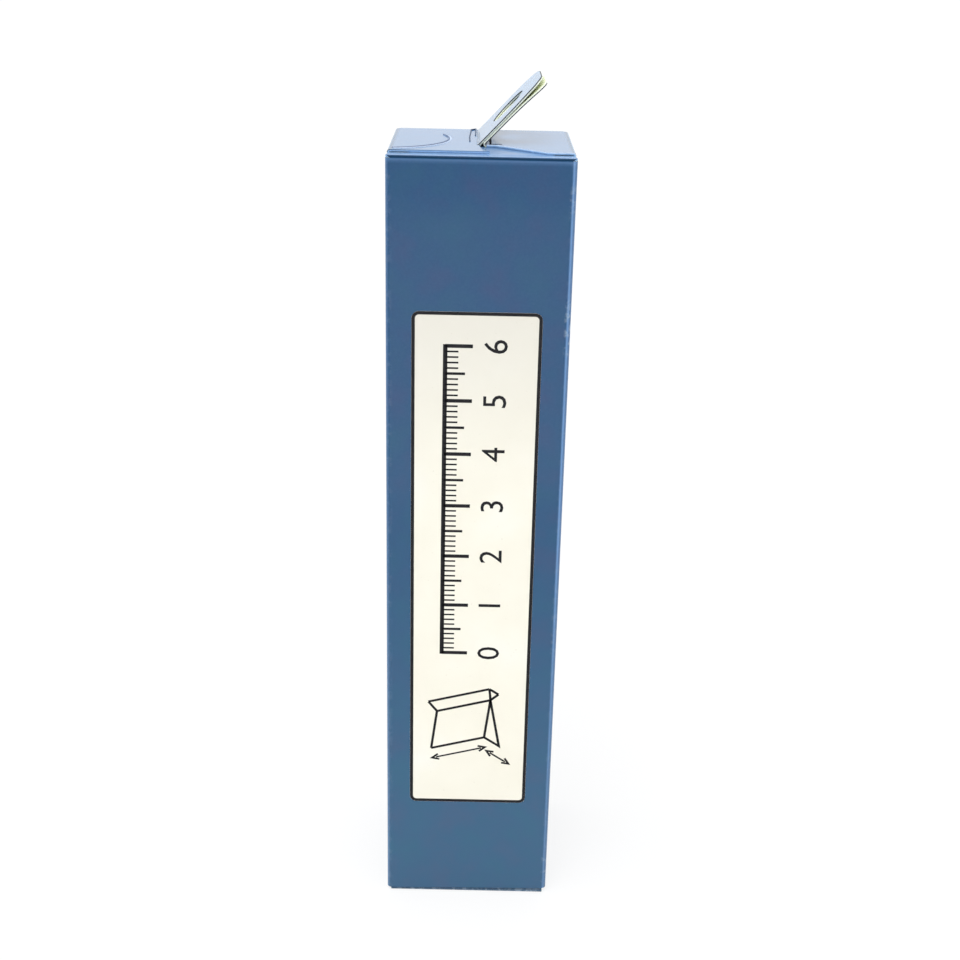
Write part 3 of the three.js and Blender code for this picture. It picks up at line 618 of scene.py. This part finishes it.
def sleeve_marks(ends, folds):
    """The back crease in painted shade, the rubbed folds, a painted highlight along the top of the front
    wall, and a painted highlight stripe by each front fold.
    """
    # rubbed places on the right front fold: height, reach up and down, strength
    rubs = [(139, 1.6, 0.5), (134.6, 1.0, 0.45), (118, 4.5, 0.55), (60, 9, 0.15), (6, 5, 0.25)]
    right_fold = (ends[2] + ends[3]) / 2

    def marks(s, w):
        fold = max(near(s, (a + b) / 2, (b - a) / 2 + 0.35) for a, b in folds)
        rub = 0.06
        if abs(s - right_fold) < 2:
            for height, width, strength in rubs:
                rub = max(rub, strength * min(1.0, 2 * near(w, height, width)))
        front = ends[2] <= s <= ends[5]
        # painted shade along the back crease
        crease_shade = 0.0 if front else 0.7 * near(w, BACK_TOP, 0.45)
        # painted highlight along the top of the front wall, where it turns into the crease
        fold_top_highlight = 0.3 * near(w, FRONT_TOP - 0.2, 0.4) if front else 0.0
        # a painted highlight stripe on the right front fold, weaker towards the foot
        stripe_strength = 0.55 + 0.45 * clamped((w - 20) / 60)
        stripe = stripe_strength * (0.95 * near(s, ends[2] + 1.08, 0.3) + 0.45 * near(s, ends[2] + 0.6, 0.7))
        return {
            "crease": crease_shade,
            "wear": min(1.0, 1.6 * fold) * rub,
            # with a narrower painted highlight on the left front fold
            "pale": min(1.0, fold_top_highlight + stripe + 0.3 * near(s, ends[5] - 0.6, 0.5)),
        }

    return marks


def sleeve_bow(at, ends, walls):
    """How far the side walls and the back wall are drawn in between their folds."""

    def bow(s, w):
        tall = max(0.0, 1 - ((w - MID_HEIGHT) / MID_HEIGHT) ** 2)
        for start, end in (walls[1], walls[3]):
            if start < s < end:
                return SIDE_BOW * tall * (1 - ((s - (start + end) / 2) / ((end - start) / 2)) ** 2)
        x = at(s)[0][0]
        if s <= ends[0] or s >= ends[7]:
            return BACK_BOW * tall * max(0.0, 1 - (x / WALL_REACH) ** 2)
        return 0.0

    return bow


def build_sleeve():
    """Four walls and the glue flap in one sheet, cut finely by the folds and the upper edge."""
    at, ends = sleeve_path()
    folds = list(zip(ends[0:8:2], ends[1:8:2]))
    walls = list(zip([0] + ends[1:8:2], ends[0:8:2] + ends[8:]))
    s_lines = []
    for start, end in folds:
        s_lines += steps(start, end, 10) + [start - 0.4, start - 0.2, end + 0.2, end + 0.4]
    for start, end in walls:
        s_lines += steps(start, end, 6)[1:-1]
    w_lines = steps(4, 144, 35) + [1.6, 145.2, 145.7, FRONT_TOP - 0.4, FRONT_TOP - 0.2]

    def butt(s, w):
        """The feet and tops of the four walls, where a flap or the next layer carries on."""
        return s < ends[6] + 0.1 and (w < 2 or w > 145)

    piece = sheet(
        "carton_sleeve", [sleeve_rim(ends)], at, (X, Y, Z), s_lines, w_lines,
        butt=butt, bow=sleeve_bow(at, ends, walls), marks=sleeve_marks(ends, folds),
    )
    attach(piece, "carton")
    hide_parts("front_wall", "back_wall", "left_wall", "right_wall", "glue_flap")


def crease_marks(start, end, dark=0.35, rub=0.12):
    """Marks of a flap: painted shade along its crease, a little rubbed along the bend."""

    def marks(s, w):
        middle = (start + end) / 2
        half = (end - start) / 2
        return {
            "crease": dark * min(1.0, 1.5 * near(s, middle, half + 0.1)),
            "wear": rub * near(s, middle, half + 0.4),
        }

    return marks


def hung(piece, node):
    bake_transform(piece)
    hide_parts(node)
    return piece


def creased_flap(
    name, node, axes, foot, outline, runs=None, droop=0.0, shift=None, w_lines=(),
    marks=None, edge=None,
):
    """A flap on one crease of the sleeve. foot is the height of the crease's start along the
    second axis, and outline gets a function from distance to s."""
    along, up, across = axes
    longer_than_any = 40
    path = [(0, -90 - droop, CREASE_RADIUS)] + (runs or [(longer_than_any, 0, 0)])
    at, ends = bent_path((-HALF, foot), 90, path)
    flat = ends[1]
    lines = steps(0, flat, 10) + [flat + 0.5]
    for i in range(2, len(ends) - 1, 2):
        lines += steps(ends[i], ends[i + 1], 8) + [ends[i] - 3, ends[i + 1] + 0.12, ends[i + 1] + 0.25]

    def to_s(distance):
        return flat + distance - CREASE_RADIUS

    rim = outline(to_s, ends)
    marked = (lambda s, w: marks(s, w, ends)) if marks else crease_marks(0, flat)
    moved = (lambda s, w: shift(s, w, ends)) if shift else None
    piece = sheet(
        name, [rim], at, axes, lines, w_lines,
        butt=lambda s, w: s < 1e-6, shift=moved, marks=marked, edge=edge,
    )
    return hung(piece, node)


def build_top_flaps():
    def marks(s, w, ends):
        """Painted shade along the crease, and a painted highlight on the print beyond it."""
        flat = ends[1]
        found = crease_marks(0, flat)(s, w)
        found["pale"] = 0.6 * clamped((s - flat) / 0.4)
        return found

    def outline_of(nose, control, tip, ply_start, sign):
        """Along the front edge to the nose, round the curve to the tab, and back along the far edge."""

        def outline(to_s, ends):
            plan = [nose] + quadratic(nose, control, tip, CURVE_STEPS)
            plan += [(ply_start, tip[1]), (ply_start, FLAP_BACK)]
            plan += [(sign * (BACK_CORNER - HALF), FLAP_BACK), (sign * (CREASE_RADIUS - HALF), CREASE_HALF)]
            return [(0, FLAP_FRONT)] + [(to_s(HALF + sign * x), y) for x, y in plan] + [(0, CREASE_HALF)]

        return outline

    left = outline_of((1.4, FLAP_FRONT), (0.0, -9.0), (-0.33, -3.52), PLY_START_LEFT, 1)
    right = outline_of((11.3, FLAP_FRONT), (6.445, -6.33), (2.43, -3.1), PLY_START_RIGHT, -1)
    # the right flap's rolled edge takes a painted highlight, and both cores painted shade
    for side, along, outline, edge in (
        ("left", X, left, (PRINTED, CUT_SHADED)),
        ("right", -X, right, (CUT_ROLLED, CUT_SHADED)),
    ):
        creased_flap(
            f"closing_flap_{side}", f"top_{side}_flap", (along, Z, Y), SIDE_TOP, outline,
            marks=marks, edge=edge,
        )


def crease_s(distance, flat, to_s):
    """s at a distance from the wall's outer face, on the bend or beyond it."""
    if distance >= CREASE_RADIUS:
        return max(flat, to_s(distance))
    return flat * math.acos(1 - distance / CREASE_RADIUS) / (math.pi / 2)


def build_dust_flaps():
    tip = DUST_HALF - DUST_TAPER * DUST_LENGTH
    far_corner = [(tip + 1.2, DUST_LENGTH - 0.8), (tip - 0.6, DUST_LENGTH)]

    def both_ways(half_plan):
        def outline(to_s, ends):
            near_side = [(crease_s(d, ends[1], to_s), -half) for half, d in half_plan]
            return near_side + [(s, -w) for s, w in reversed(near_side)]

        return outline

    shown = 5.32  # how far the strip in front of the closing flaps reaches
    wide = 15.95  # over the side walls' upper edges
    corner = WALL_REACH
    # half width and distance from the wall: round the sleeve's fold, out over the side walls, then in
    front = [(corner, 0)]
    front += [(corner + math.sqrt(FOLD_RADIUS**2 - (FOLD_RADIUS - d) ** 2), d) for d in (0.12, 0.28, 0.5)]
    front += [
        (wide, 0.8),
        (wide, shown - 0.3),
        (DUST_HALF, shown),
        (DUST_HALF - DUST_TAPER * shown, shown),
    ]
    front += far_corner

    def front_marks(s, w, ends):
        """Painted shade low on the bend, and a painted highlight on the print above it."""
        begun = clamped((s - 0.5) / 0.2)
        in_front = clamped((7.5 - s) / 2)
        return {
            "crease": 0.85 * min(1.0, 1.6 * near(s, 0.24, 0.26)),
            "pale": begun * (0.25 + 0.7 * in_front),
        }

    # pressed down in front of the closing flaps, and level again under them
    front_flap = creased_flap(
        "dust_flap_front", "top_front_dust_flap", (Y, Z, X), FRONT_TOP, both_ways(front),
        runs=[(4.4, FRONT_DROOP, 6.0), (12, 0, 0)], droop=FRONT_DROOP, marks=front_marks,
        edge=(PRINTED, CUT_SHADED),
    )
    # the strip's print takes a lighter painted highlight colour
    front_flap.data.materials[0] = PRINTED_STRIP
    back = [(CREASE_HALF, 0), (CREASE_HALF, CREASE_RADIUS + 0.1)] + far_corner
    creased_flap(
        "dust_flap_back", "top_back_dust_flap", (-Y, Z, X), BACK_TOP, both_ways(back),
        droop=BACK_DROOP,
    )


def build_bottom():
    tongue = 8.0
    tongue_turn = -98
    corner = 2.0
    fold = 0.5
    slack = 0.08  # between the fold and the front wall's inner face
    panel = 2 * HALF - CREASE_RADIUS - BOARD - slack - fold

    def bulge(s, w, ends):
        """The fold swells forward under the front wall's foot."""
        rise = clamped((s - ends[2] + 3) / 3) * clamped(1 - (s - ends[3] + 0.32) / 0.34)
        return (0.5 + 0.06 * w / HALF) * rise, 0.0

    # Painted shade along the tuck's crease and along the fold under the front wall's foot, and wear on the
    # fold
    def fold_marks(s, w, ends):
        fold_line = near(s, (ends[2] + ends[3]) / 2, 0.8)
        return {"crease": 0.35 * max(near(s, ends[1] / 2, 0.5), fold_line), "wear": 0.5 * fold_line}

    def tuck(to_s, ends):
        last = ends[-1]
        side = [(0.0, -CREASE_HALF), (ends[1], -CREASE_HALF), (ends[1] + 0.6, -DUST_HALF)]
        side += [(s, w) for s, w in arc((last - corner, corner - DUST_HALF), corner, -90, 0, 5)]
        return side + [(s, -w) for s, w in reversed(side)]

    tuck_flap = creased_flap(
        "tuck_flap", "bottom_tuck_flap", (-Y, -Z, X), -BACK_FOOT, tuck,
        runs=[(panel, tongue_turn, fold), (tongue, 0, 0)],
        shift=bulge, w_lines=steps(-12, 12, 6), marks=fold_marks,
    )
    tuck_flap.data.materials[0] = PRINTED_FOLD
    length = 12.6
    front, back = -12.4, 15.04

    def dust(to_s, ends):
        far = to_s(length)
        return [
            (0, front), (far - 1, front), (far, front + 1), (far, back - DUST_TAPER * length),
            (ends[1], back), (0, back),
        ]

    for side, along in (("left", X), ("right", -X)):
        creased_flap(
            f"floor_flap_{side}", f"bottom_{side}_dust_flap", (along, -Z, Y),
            -SIDE_FOOT, dust,
        )


def build_ply(name, node, along, start, ply):
    straight = 5.0
    curled = ply["length"] - ply["bend_end"] - straight
    curl_radius = curled / math.radians(ply["curl"])
    at, ends = bent_path(
        (start, FLAP_TOP),
        0,
        [(0, ply["turn"], ply["radius"]), (straight, ply["curl"], curl_radius), (1, 0, 0)],
    )
    bend = ends[1]

    def to_s(distance):
        return bend + distance - ply["bend_end"]

    near_corner, far_corner = 2.2, 8.4
    length = ply["length"]
    outline = [(0, TAB_NEAR)]
    outline += arc((length - near_corner, TAB_NEAR + near_corner), near_corner, -90, 0, 6)
    outline += arc((length - far_corner, TAB_FAR - far_corner), far_corner, 0, 90, 16)
    rim = [outline[0]] + [(to_s(d), w) for d, w in outline[1:]] + [(0, TAB_FAR)]
    circle = arc((HOLE_ALONG, HOLE_Y), HOLE_RADIUS, 0, 360, HOLE_STEPS)[:-1]
    hole = [(to_s(d), w) for d, w in circle]
    lines = steps(0, bend, 6) + steps(bend + straight, bend + straight + curled, 8)[:-1]
    marks = crease_marks(0, bend, 0.5, 0.4)
    piece = sheet(
        name, [rim, hole], at, (along, Z, Y), lines, butt=lambda s, w: s < 1e-6, marks=marks,
        edge=(PRINT_EDGE, CORE), roll_depth=PLY_ROLL_DEPTH,
    )
    piece.data.materials[0] = PRINTED_TAB
    piece.data.materials[1] = PLY_INSIDE
    (a, b), _ = at(bend)
    return hung(piece, node)


def build_hang_tab():
    for side, along, start, ply in (
        ("left", X, PLY_START_LEFT, PLY_LEFT),
        ("right", -X, -PLY_START_RIGHT, PLY_RIGHT),
    ):
        build_ply(f"tab_ply_{side}", f"hang_tab_{side}_ply", along, start, ply)


# Lines and figures in ink, and lines on the flaps, some of them painted shade and painted highlight
def stroke(points, width, closed=False):
    """The left and right edges of a line of this width, mitred at its corners."""
    spots = [Vector(p) for p in points]
    count = len(spots)
    left, right = [], []
    for i, spot in enumerate(spots):
        before = spots[i - 1] if closed or i else None
        after = spots[(i + 1) % count] if closed or i < count - 1 else None
        runs = []
        if before is not None:
            runs.append((spot - before).normalized())
        if after is not None:
            runs.append((after - spot).normalized())
        mean = sum(runs, Vector((0, 0))).normalized()
        side = Vector((-mean.y, mean.x))
        reach = width / 2 / max(0.35, side.dot(Vector((-runs[0].y, runs[0].x))))
        left.append(spot + side * reach)
        right.append(spot - side * reach)
    return left, right


def line_mesh(name, strokes, place, height, materials):
    """Raised lines as one mesh. A stroke is (points, width, closed, material number)."""
    verts, polygons, kinds = [], [], []
    for points, width, closed, kind in strokes:
        left, right = stroke(points, width, closed)
        ease = min(height, width / 5)
        first = len(verts)
        count = len(left)
        for a, b in zip(left, right):
            inward = (b - a).normalized() * ease
            verts += [place(*a, 0.0), place(*(a + inward), height)]
            verts += [place(*(b - inward), height), place(*b, 0.0)]
        for i in range(count if closed else count - 1):
            j = (i + 1) % count
            for k in range(3):
                p, q = first + 4 * i + k, first + 4 * j + k
                polygons.append([p, p + 1, q + 1, q])
                kinds.append(kind)
        for i, turn in (() if closed else ((0, 1), (count - 1, -1))):
            polygons.append([first + 4 * i + k for k in range(4)][::-turn])
            kinds.append(kind)
    mesh = bpy.data.meshes.new(name)
    mesh.from_pydata([v * MM for v in verts], [], polygons)
    for material in materials:
        mesh.materials.append(material)
    mesh.polygons.foreach_set("material_index", kinds)
    bm = bmesh.new()
    bm.from_mesh(mesh)
    bmesh.ops.recalc_face_normals(bm, faces=bm.faces[:])
    bm.to_mesh(mesh)
    bm.free()
    return mesh


def on_label(u, v, height):
    return Vector((u, -HALF - LABEL_PROUD + SUNK - height, v))


def on_flaps(u, v, height):
    return Vector((u, v, FLAP_TOP - SUNK + height))


def build_label():
    """The cream panel with its rounded border, a ruler and a clip's outline."""
    rim = rounded_box(LABEL_LEFT, LABEL_RIGHT, LABEL_FOOT, LABEL_TOP, LABEL_CORNER)
    at, _ = bent_path((0, HALF + LABEL_PROUD), 0, [(40, 0, 0)])
    panel = sheet("label_panel", [rim], at, (X, -Y, Z), thickness=LABEL_PROUD, butt=lambda s, w: True)
    for i in range(len(panel.data.materials)):
        panel.data.materials[i] = LABEL
    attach(panel, "carton")
    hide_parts("label")

    inset = BORDER / 2
    border = rounded_box(
        LABEL_LEFT + inset, LABEL_RIGHT - inset, LABEL_FOOT + inset, LABEL_TOP - inset, LABEL_CORNER - inset
    )
    strokes = [(border[::-1], BORDER, True, 0)]
    strokes += ruler_strokes() + clip_strokes()
    mesh = line_mesh("label_print", strokes, on_label, INK_PROUD, [INK])
    add_numbers(mesh)
    print_piece = finished("label_print", mesh)
    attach(print_piece, "carton")


def ruler_strokes():
    """A millimetre scale read sideways, from a bold base line."""
    low = RULER_FOOT - RULER_OVERRUN
    high = RULER_FOOT + RULER_LENGTH + RULER_OVERRUN
    strokes = [([(RULER_X, low), (RULER_X, high)], RULER_BASE, False, 0)]
    for i in range(RULER_LENGTH + 1):
        z = RULER_FOOT + i
        length, width = next(tick[1:] for tick in RULER_TICKS if i % tick[0] == 0)
        strokes.append(([(RULER_X, z), (RULER_X + length, z)], width, False, 0))
    return strokes


def add_numbers(mesh):
    """Plain numbers at the centimetres, turned to be read from the right."""
    bm = bmesh.new()
    bm.from_mesh(mesh)
    for i in range(RULER_LENGTH // 10 + 1):
        text = bpy.data.curves.new("figure", "FONT")
        text.body = str(i)
        text.size = FIGURE_SIZE
        text.extrude = 0.01  # any depth will do, as each point is then put at the print's foot or face
        text.resolution_u = 3
        holder = bpy.data.objects.new("figure", text)
        bpy.context.scene.collection.objects.link(holder)
        bpy.context.view_layer.update()
        solid = bpy.data.meshes.new_from_object(holder)
        across = [v.co.x for v in solid.vertices]
        middle = (min(across) + max(across)) / 2
        for v in solid.vertices:
            u = RULER_X + FIGURE_FOOT - v.co.y
            w = RULER_FOOT + 10 * i + (v.co.x - middle)
            v.co = on_label(u, w, INK_PROUD if v.co.z > 0 else 0.0) * MM
        bm.from_mesh(solid)
        bpy.data.objects.remove(holder)
        bpy.data.curves.remove(text)
        bpy.data.meshes.remove(solid)
    bmesh.ops.recalc_face_normals(bm, faces=bm.faces[:])
    bm.to_mesh(mesh)
    bm.free()


def clip_strokes():
    """The outline of a folded clip lying on its side, and two plain arrows."""
    a = Vector((-7.4, 33.6))
    long_way = Vector((10.2, 2.6))
    up = Vector((-0.4, 9.2))
    depth = Vector((2.9, -1.9))
    lip = up * 0.18
    flare = long_way * 0.07
    spread = depth * 0.3
    below = Vector((0.2, -2.2))
    beside = Vector((0.5, -3.0))
    strokes = []

    def line(*points):
        strokes.append(([tuple(p) for p in points], CLIP_LINE, False, 0))

    b = a + long_way
    ridge_a = a + up + depth * 0.5
    ridge_b = ridge_a + long_way
    line(a, b, ridge_b, ridge_a, a)
    c = b + depth
    line(b, c, ridge_b)
    lip_a = ridge_a + lip - spread - flare
    lip_b = ridge_b + lip - spread + flare
    lip_back = ridge_b + lip + spread + flare
    line(ridge_a, lip_a)
    line(ridge_b, lip_b)
    line(lip_a, lip_b)
    line(ridge_b, lip_back)
    line(lip_b, lip_back)

    def arrow(start, end):
        run = (end - start).normalized()
        side = Vector((-run.y, run.x))
        strokes.append(([tuple(start + run * 0.8), tuple(end - run * 0.8)], ARROW_LINE, False, 0))
        for tip, way in ((start, run), (end, -run)):
            barbs = [tip + way * 1.3 + side * 0.6, tip, tip + way * 1.3 - side * 0.6]
            strokes.append(([tuple(p) for p in barbs], BARB_LINE, False, 0))

    arrow(a + below, b + below)
    arrow(b + beside, b + depth * 1.5 + beside)
    return strokes


def build_flap_lines():
    """The thumb cut's half-moon edge with a painted highlight line beside it, the pressed bead by the tab,
    and two dark strokes beyond it, painted shade in the hollow under the right ply.
    """
    centre, radius = (-17.6, 2.8), 11.8
    first, last = -81, 25  # degrees round the centre
    crease_end = -15.3

    def moon(offset):
        return [(x, y) for x, y in arc(centre, radius + offset, first, last, 40) if x > crease_end]

    bead = [(-2.1, 0.2), (-2.2, 6), (-2.0, 14.4), (-1.15, 15.2), (-1.15, 7.2)]
    # the thumb cut's raised edge, its slate colour painted shade of the cut, and the pressed bead
    raised = [(moon(0.0), 0.3, False, 0), (bead, 0.24, False, 1)]
    # a painted highlight line just outside the cut's edge
    low = [(moon(0.34), 0.3, False, 0)]
    for name, strokes, height, materials in (
        ("moon_edge", raised, 0.2, [CUT_LINE, BEAD_DARK]),
        ("moon_painted_highlight", low, 0.07, [HIGHLIGHT_LINE]),
    ):
        piece = finished(name, line_mesh(name, strokes, on_flaps, height, materials))
        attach(piece, "top_left")
    # two dark strokes beside the tab's foot: painted shade where the hollow under the right ply is dark
    shade_line = [(1.5, -2.9), (1.5, 6.6)]
    shade_wedge = [(1.7, -2.8), (2.6, -2.3), (3.5, -2.2)]
    strokes = [(shade_line, 0.4, False, 0), (shade_wedge, 0.5, False, 0)]
    name = "painted_shade_right"
    right = finished(name, line_mesh(name, strokes, on_flaps, 0.03, [PAINTED_SHADE]))
    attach(right, "top_right")


# Dispenser
def eased_copy(node, body, material, width):
    """The node's own solid with its edges eased."""
    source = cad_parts[node]
    name = f"{node}_eased"
    mesh = source.data.copy()
    mesh.name = name
    mesh.materials.clear()
    mesh.materials.append(material)
    piece = bpy.data.objects.new(name, mesh)
    bpy.context.scene.collection.objects.link(piece)
    bevel = piece.modifiers.new("ease", "BEVEL")
    bevel.width = width * MM
    bevel.segments = 2
    bevel.limit_method = "ANGLE"
    bevel.angle_limit = math.radians(SHARP)
    bpy.context.view_layer.update()
    made = bpy.data.meshes.new_from_object(piece.evaluated_get(bpy.context.evaluated_depsgraph_get()))
    piece.modifiers.clear()
    piece.data = made
    made.polygons.foreach_set("use_smooth", [True] * len(made.polygons))
    made.set_sharp_from_angle(angle=math.radians(EASED_SHARP))
    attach(piece, body)
    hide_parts(node)


def build_dispenser():
    for side in ("left", "right"):
        eased_copy(f"dispenser_{side}_shell", "carton", SHELL, 0.12)
        eased_copy(f"{side}_spreader", "carton", STEEL, 0.1)
    for node in ("end_cap", "nozzle"):
        eased_copy(node, "carton", BLUE, 0.15)
    for node in ("thumb_slider", "pusher"):
        eased_copy(node, "slider", BLUE, 0.18)
    for i in range(1, 4):
        eased_copy(f"shell_screw_{i}", "carton", STEEL, 0.08)
    for i in range(1, 6):
        eased_copy(f"clip_{i}", "slider", STEEL, 0.05)


# Stage
def build_stage():
    size = 12.0
    mesh = bpy.data.meshes.new("floor")
    corners = [(-size, -size, 0), (size, -size, 0), (size, size, 0), (-size, size, 0)]
    mesh.from_pydata(corners, [], [(0, 1, 2, 3)])
    floor = bpy.data.objects.new("floor", mesh)
    bpy.context.scene.collection.objects.link(floor)
    made, tree, shader = material_of(
        "pale_floor", roughness=0.9, Specular_IOR_Level=0.0, Base_Color=(0.86, 0.86, 0.86, 1)
    )
    glow = tree.nodes.new("ShaderNodeEmission")
    seen = straight_rays(tree)
    share = tree.nodes.new("ShaderNodeMixShader")
    glow_share = 0.8  # the rest is the floor's own shade, which keeps the object's shadow
    tree.links.new(product(tree, seen, glow_share), share.inputs["Fac"])
    tree.links.new(shader.outputs["BSDF"], share.inputs[1])
    tree.links.new(glow.outputs["Emission"], share.inputs[2])
    tree.links.new(share.outputs["Shader"], tree.nodes["Material Output"].inputs["Surface"])
    mesh.materials.append(made)


def straight_rays(tree):
    """1 for camera, glossy and transmission rays."""
    path = tree.nodes.new("ShaderNodeLightPath")
    first = tree.nodes.new("ShaderNodeMath")
    first.operation = "MAXIMUM"
    second = tree.nodes.new("ShaderNodeMath")
    second.operation = "MAXIMUM"
    tree.links.new(path.outputs["Is Camera Ray"], first.inputs[0])
    tree.links.new(path.outputs["Is Glossy Ray"], first.inputs[1])
    tree.links.new(first.outputs[0], second.inputs[0])
    tree.links.new(path.outputs["Is Transmission Ray"], second.inputs[1])
    return second.outputs[0]


def build_world():
    world = bpy.data.worlds.new("pale_room")
    bpy.context.scene.world = world
    world.use_nodes = True
    tree = world.node_tree
    soft = tree.nodes["Background"]
    soft.inputs["Color"].default_value = (0.94, 0.97, 1.0, 1)
    soft.inputs["Strength"].default_value = 0.55
    white = tree.nodes.new("ShaderNodeBackground")
    white.inputs["Color"].default_value = (1, 1, 1, 1)
    share = tree.nodes.new("ShaderNodeMixShader")
    tree.links.new(straight_rays(tree), share.inputs["Fac"])
    tree.links.new(soft.outputs["Background"], share.inputs[1])
    tree.links.new(white.outputs["Background"], share.inputs[2])
    tree.links.new(share.outputs["Shader"], tree.nodes["World Output"].inputs["Surface"])


def sun(name, strength, elevation, azimuth, spread):
    """A soft lamp far away. Azimuth 0 is the labelled side, and 90 the right."""
    lamp = bpy.data.lights.new(name, "SUN")
    lamp.energy = strength
    lamp.angle = math.radians(spread)
    holder = bpy.data.objects.new(name, lamp)
    up = math.radians(elevation)
    turn = math.radians(azimuth)
    towards = Vector((math.sin(turn) * math.cos(up), -math.cos(turn) * math.cos(up), math.sin(up)))
    holder.rotation_euler = towards.to_track_quat("Z", "Y").to_euler()
    holder.location = towards
    bpy.context.scene.collection.objects.link(holder)


def panel_light(name, power, size, location, target):
    lamp = bpy.data.lights.new(name, "AREA")
    lamp.energy = power
    lamp.size = size
    holder = bpy.data.objects.new(name, lamp)
    holder.location = location
    holder.rotation_euler = (Vector(location) - Vector(target)).to_track_quat("Z", "Y").to_euler()
    bpy.context.scene.collection.objects.link(holder)


def build_lights():
    sun("overhead", strength=2.2, elevation=78, azimuth=-30, spread=50)
    sun("key", strength=0.45, elevation=32, azimuth=-25, spread=35)
    panel_light("low_front", power=0.035, size=0.14, location=(-0.03, -0.22, 0.03), target=(0, 0, 0.01))
    sun("back", strength=0.5, elevation=35, azimuth=170, spread=45)


def build_camera():
    """The photograph's camera, 255 mm in front and 185 mm up, looking down by 22 degrees."""
    data = bpy.data.cameras.new("camera")
    data.sensor_width = 36
    data.lens = 53.72
    data.clip_start = 0.01
    data.clip_end = 100
    camera = bpy.data.objects.new("camera", data)
    camera.location = Vector((-0.09, -255.27, 184.62)) * MM
    camera.rotation_euler = [math.radians(a) for a in (68.359, -1.181, 0.226)]
    bpy.context.scene.collection.objects.link(camera)
    bpy.context.scene.camera = camera


build_sleeve()
build_top_flaps()
build_dust_flaps()
build_bottom()
build_hang_tab()
build_label()
build_flap_lines()
build_dispenser()
build_stage()
build_world()
build_lights()
build_camera()
bpy.context.scene.view_settings.view_transform = "Standard"
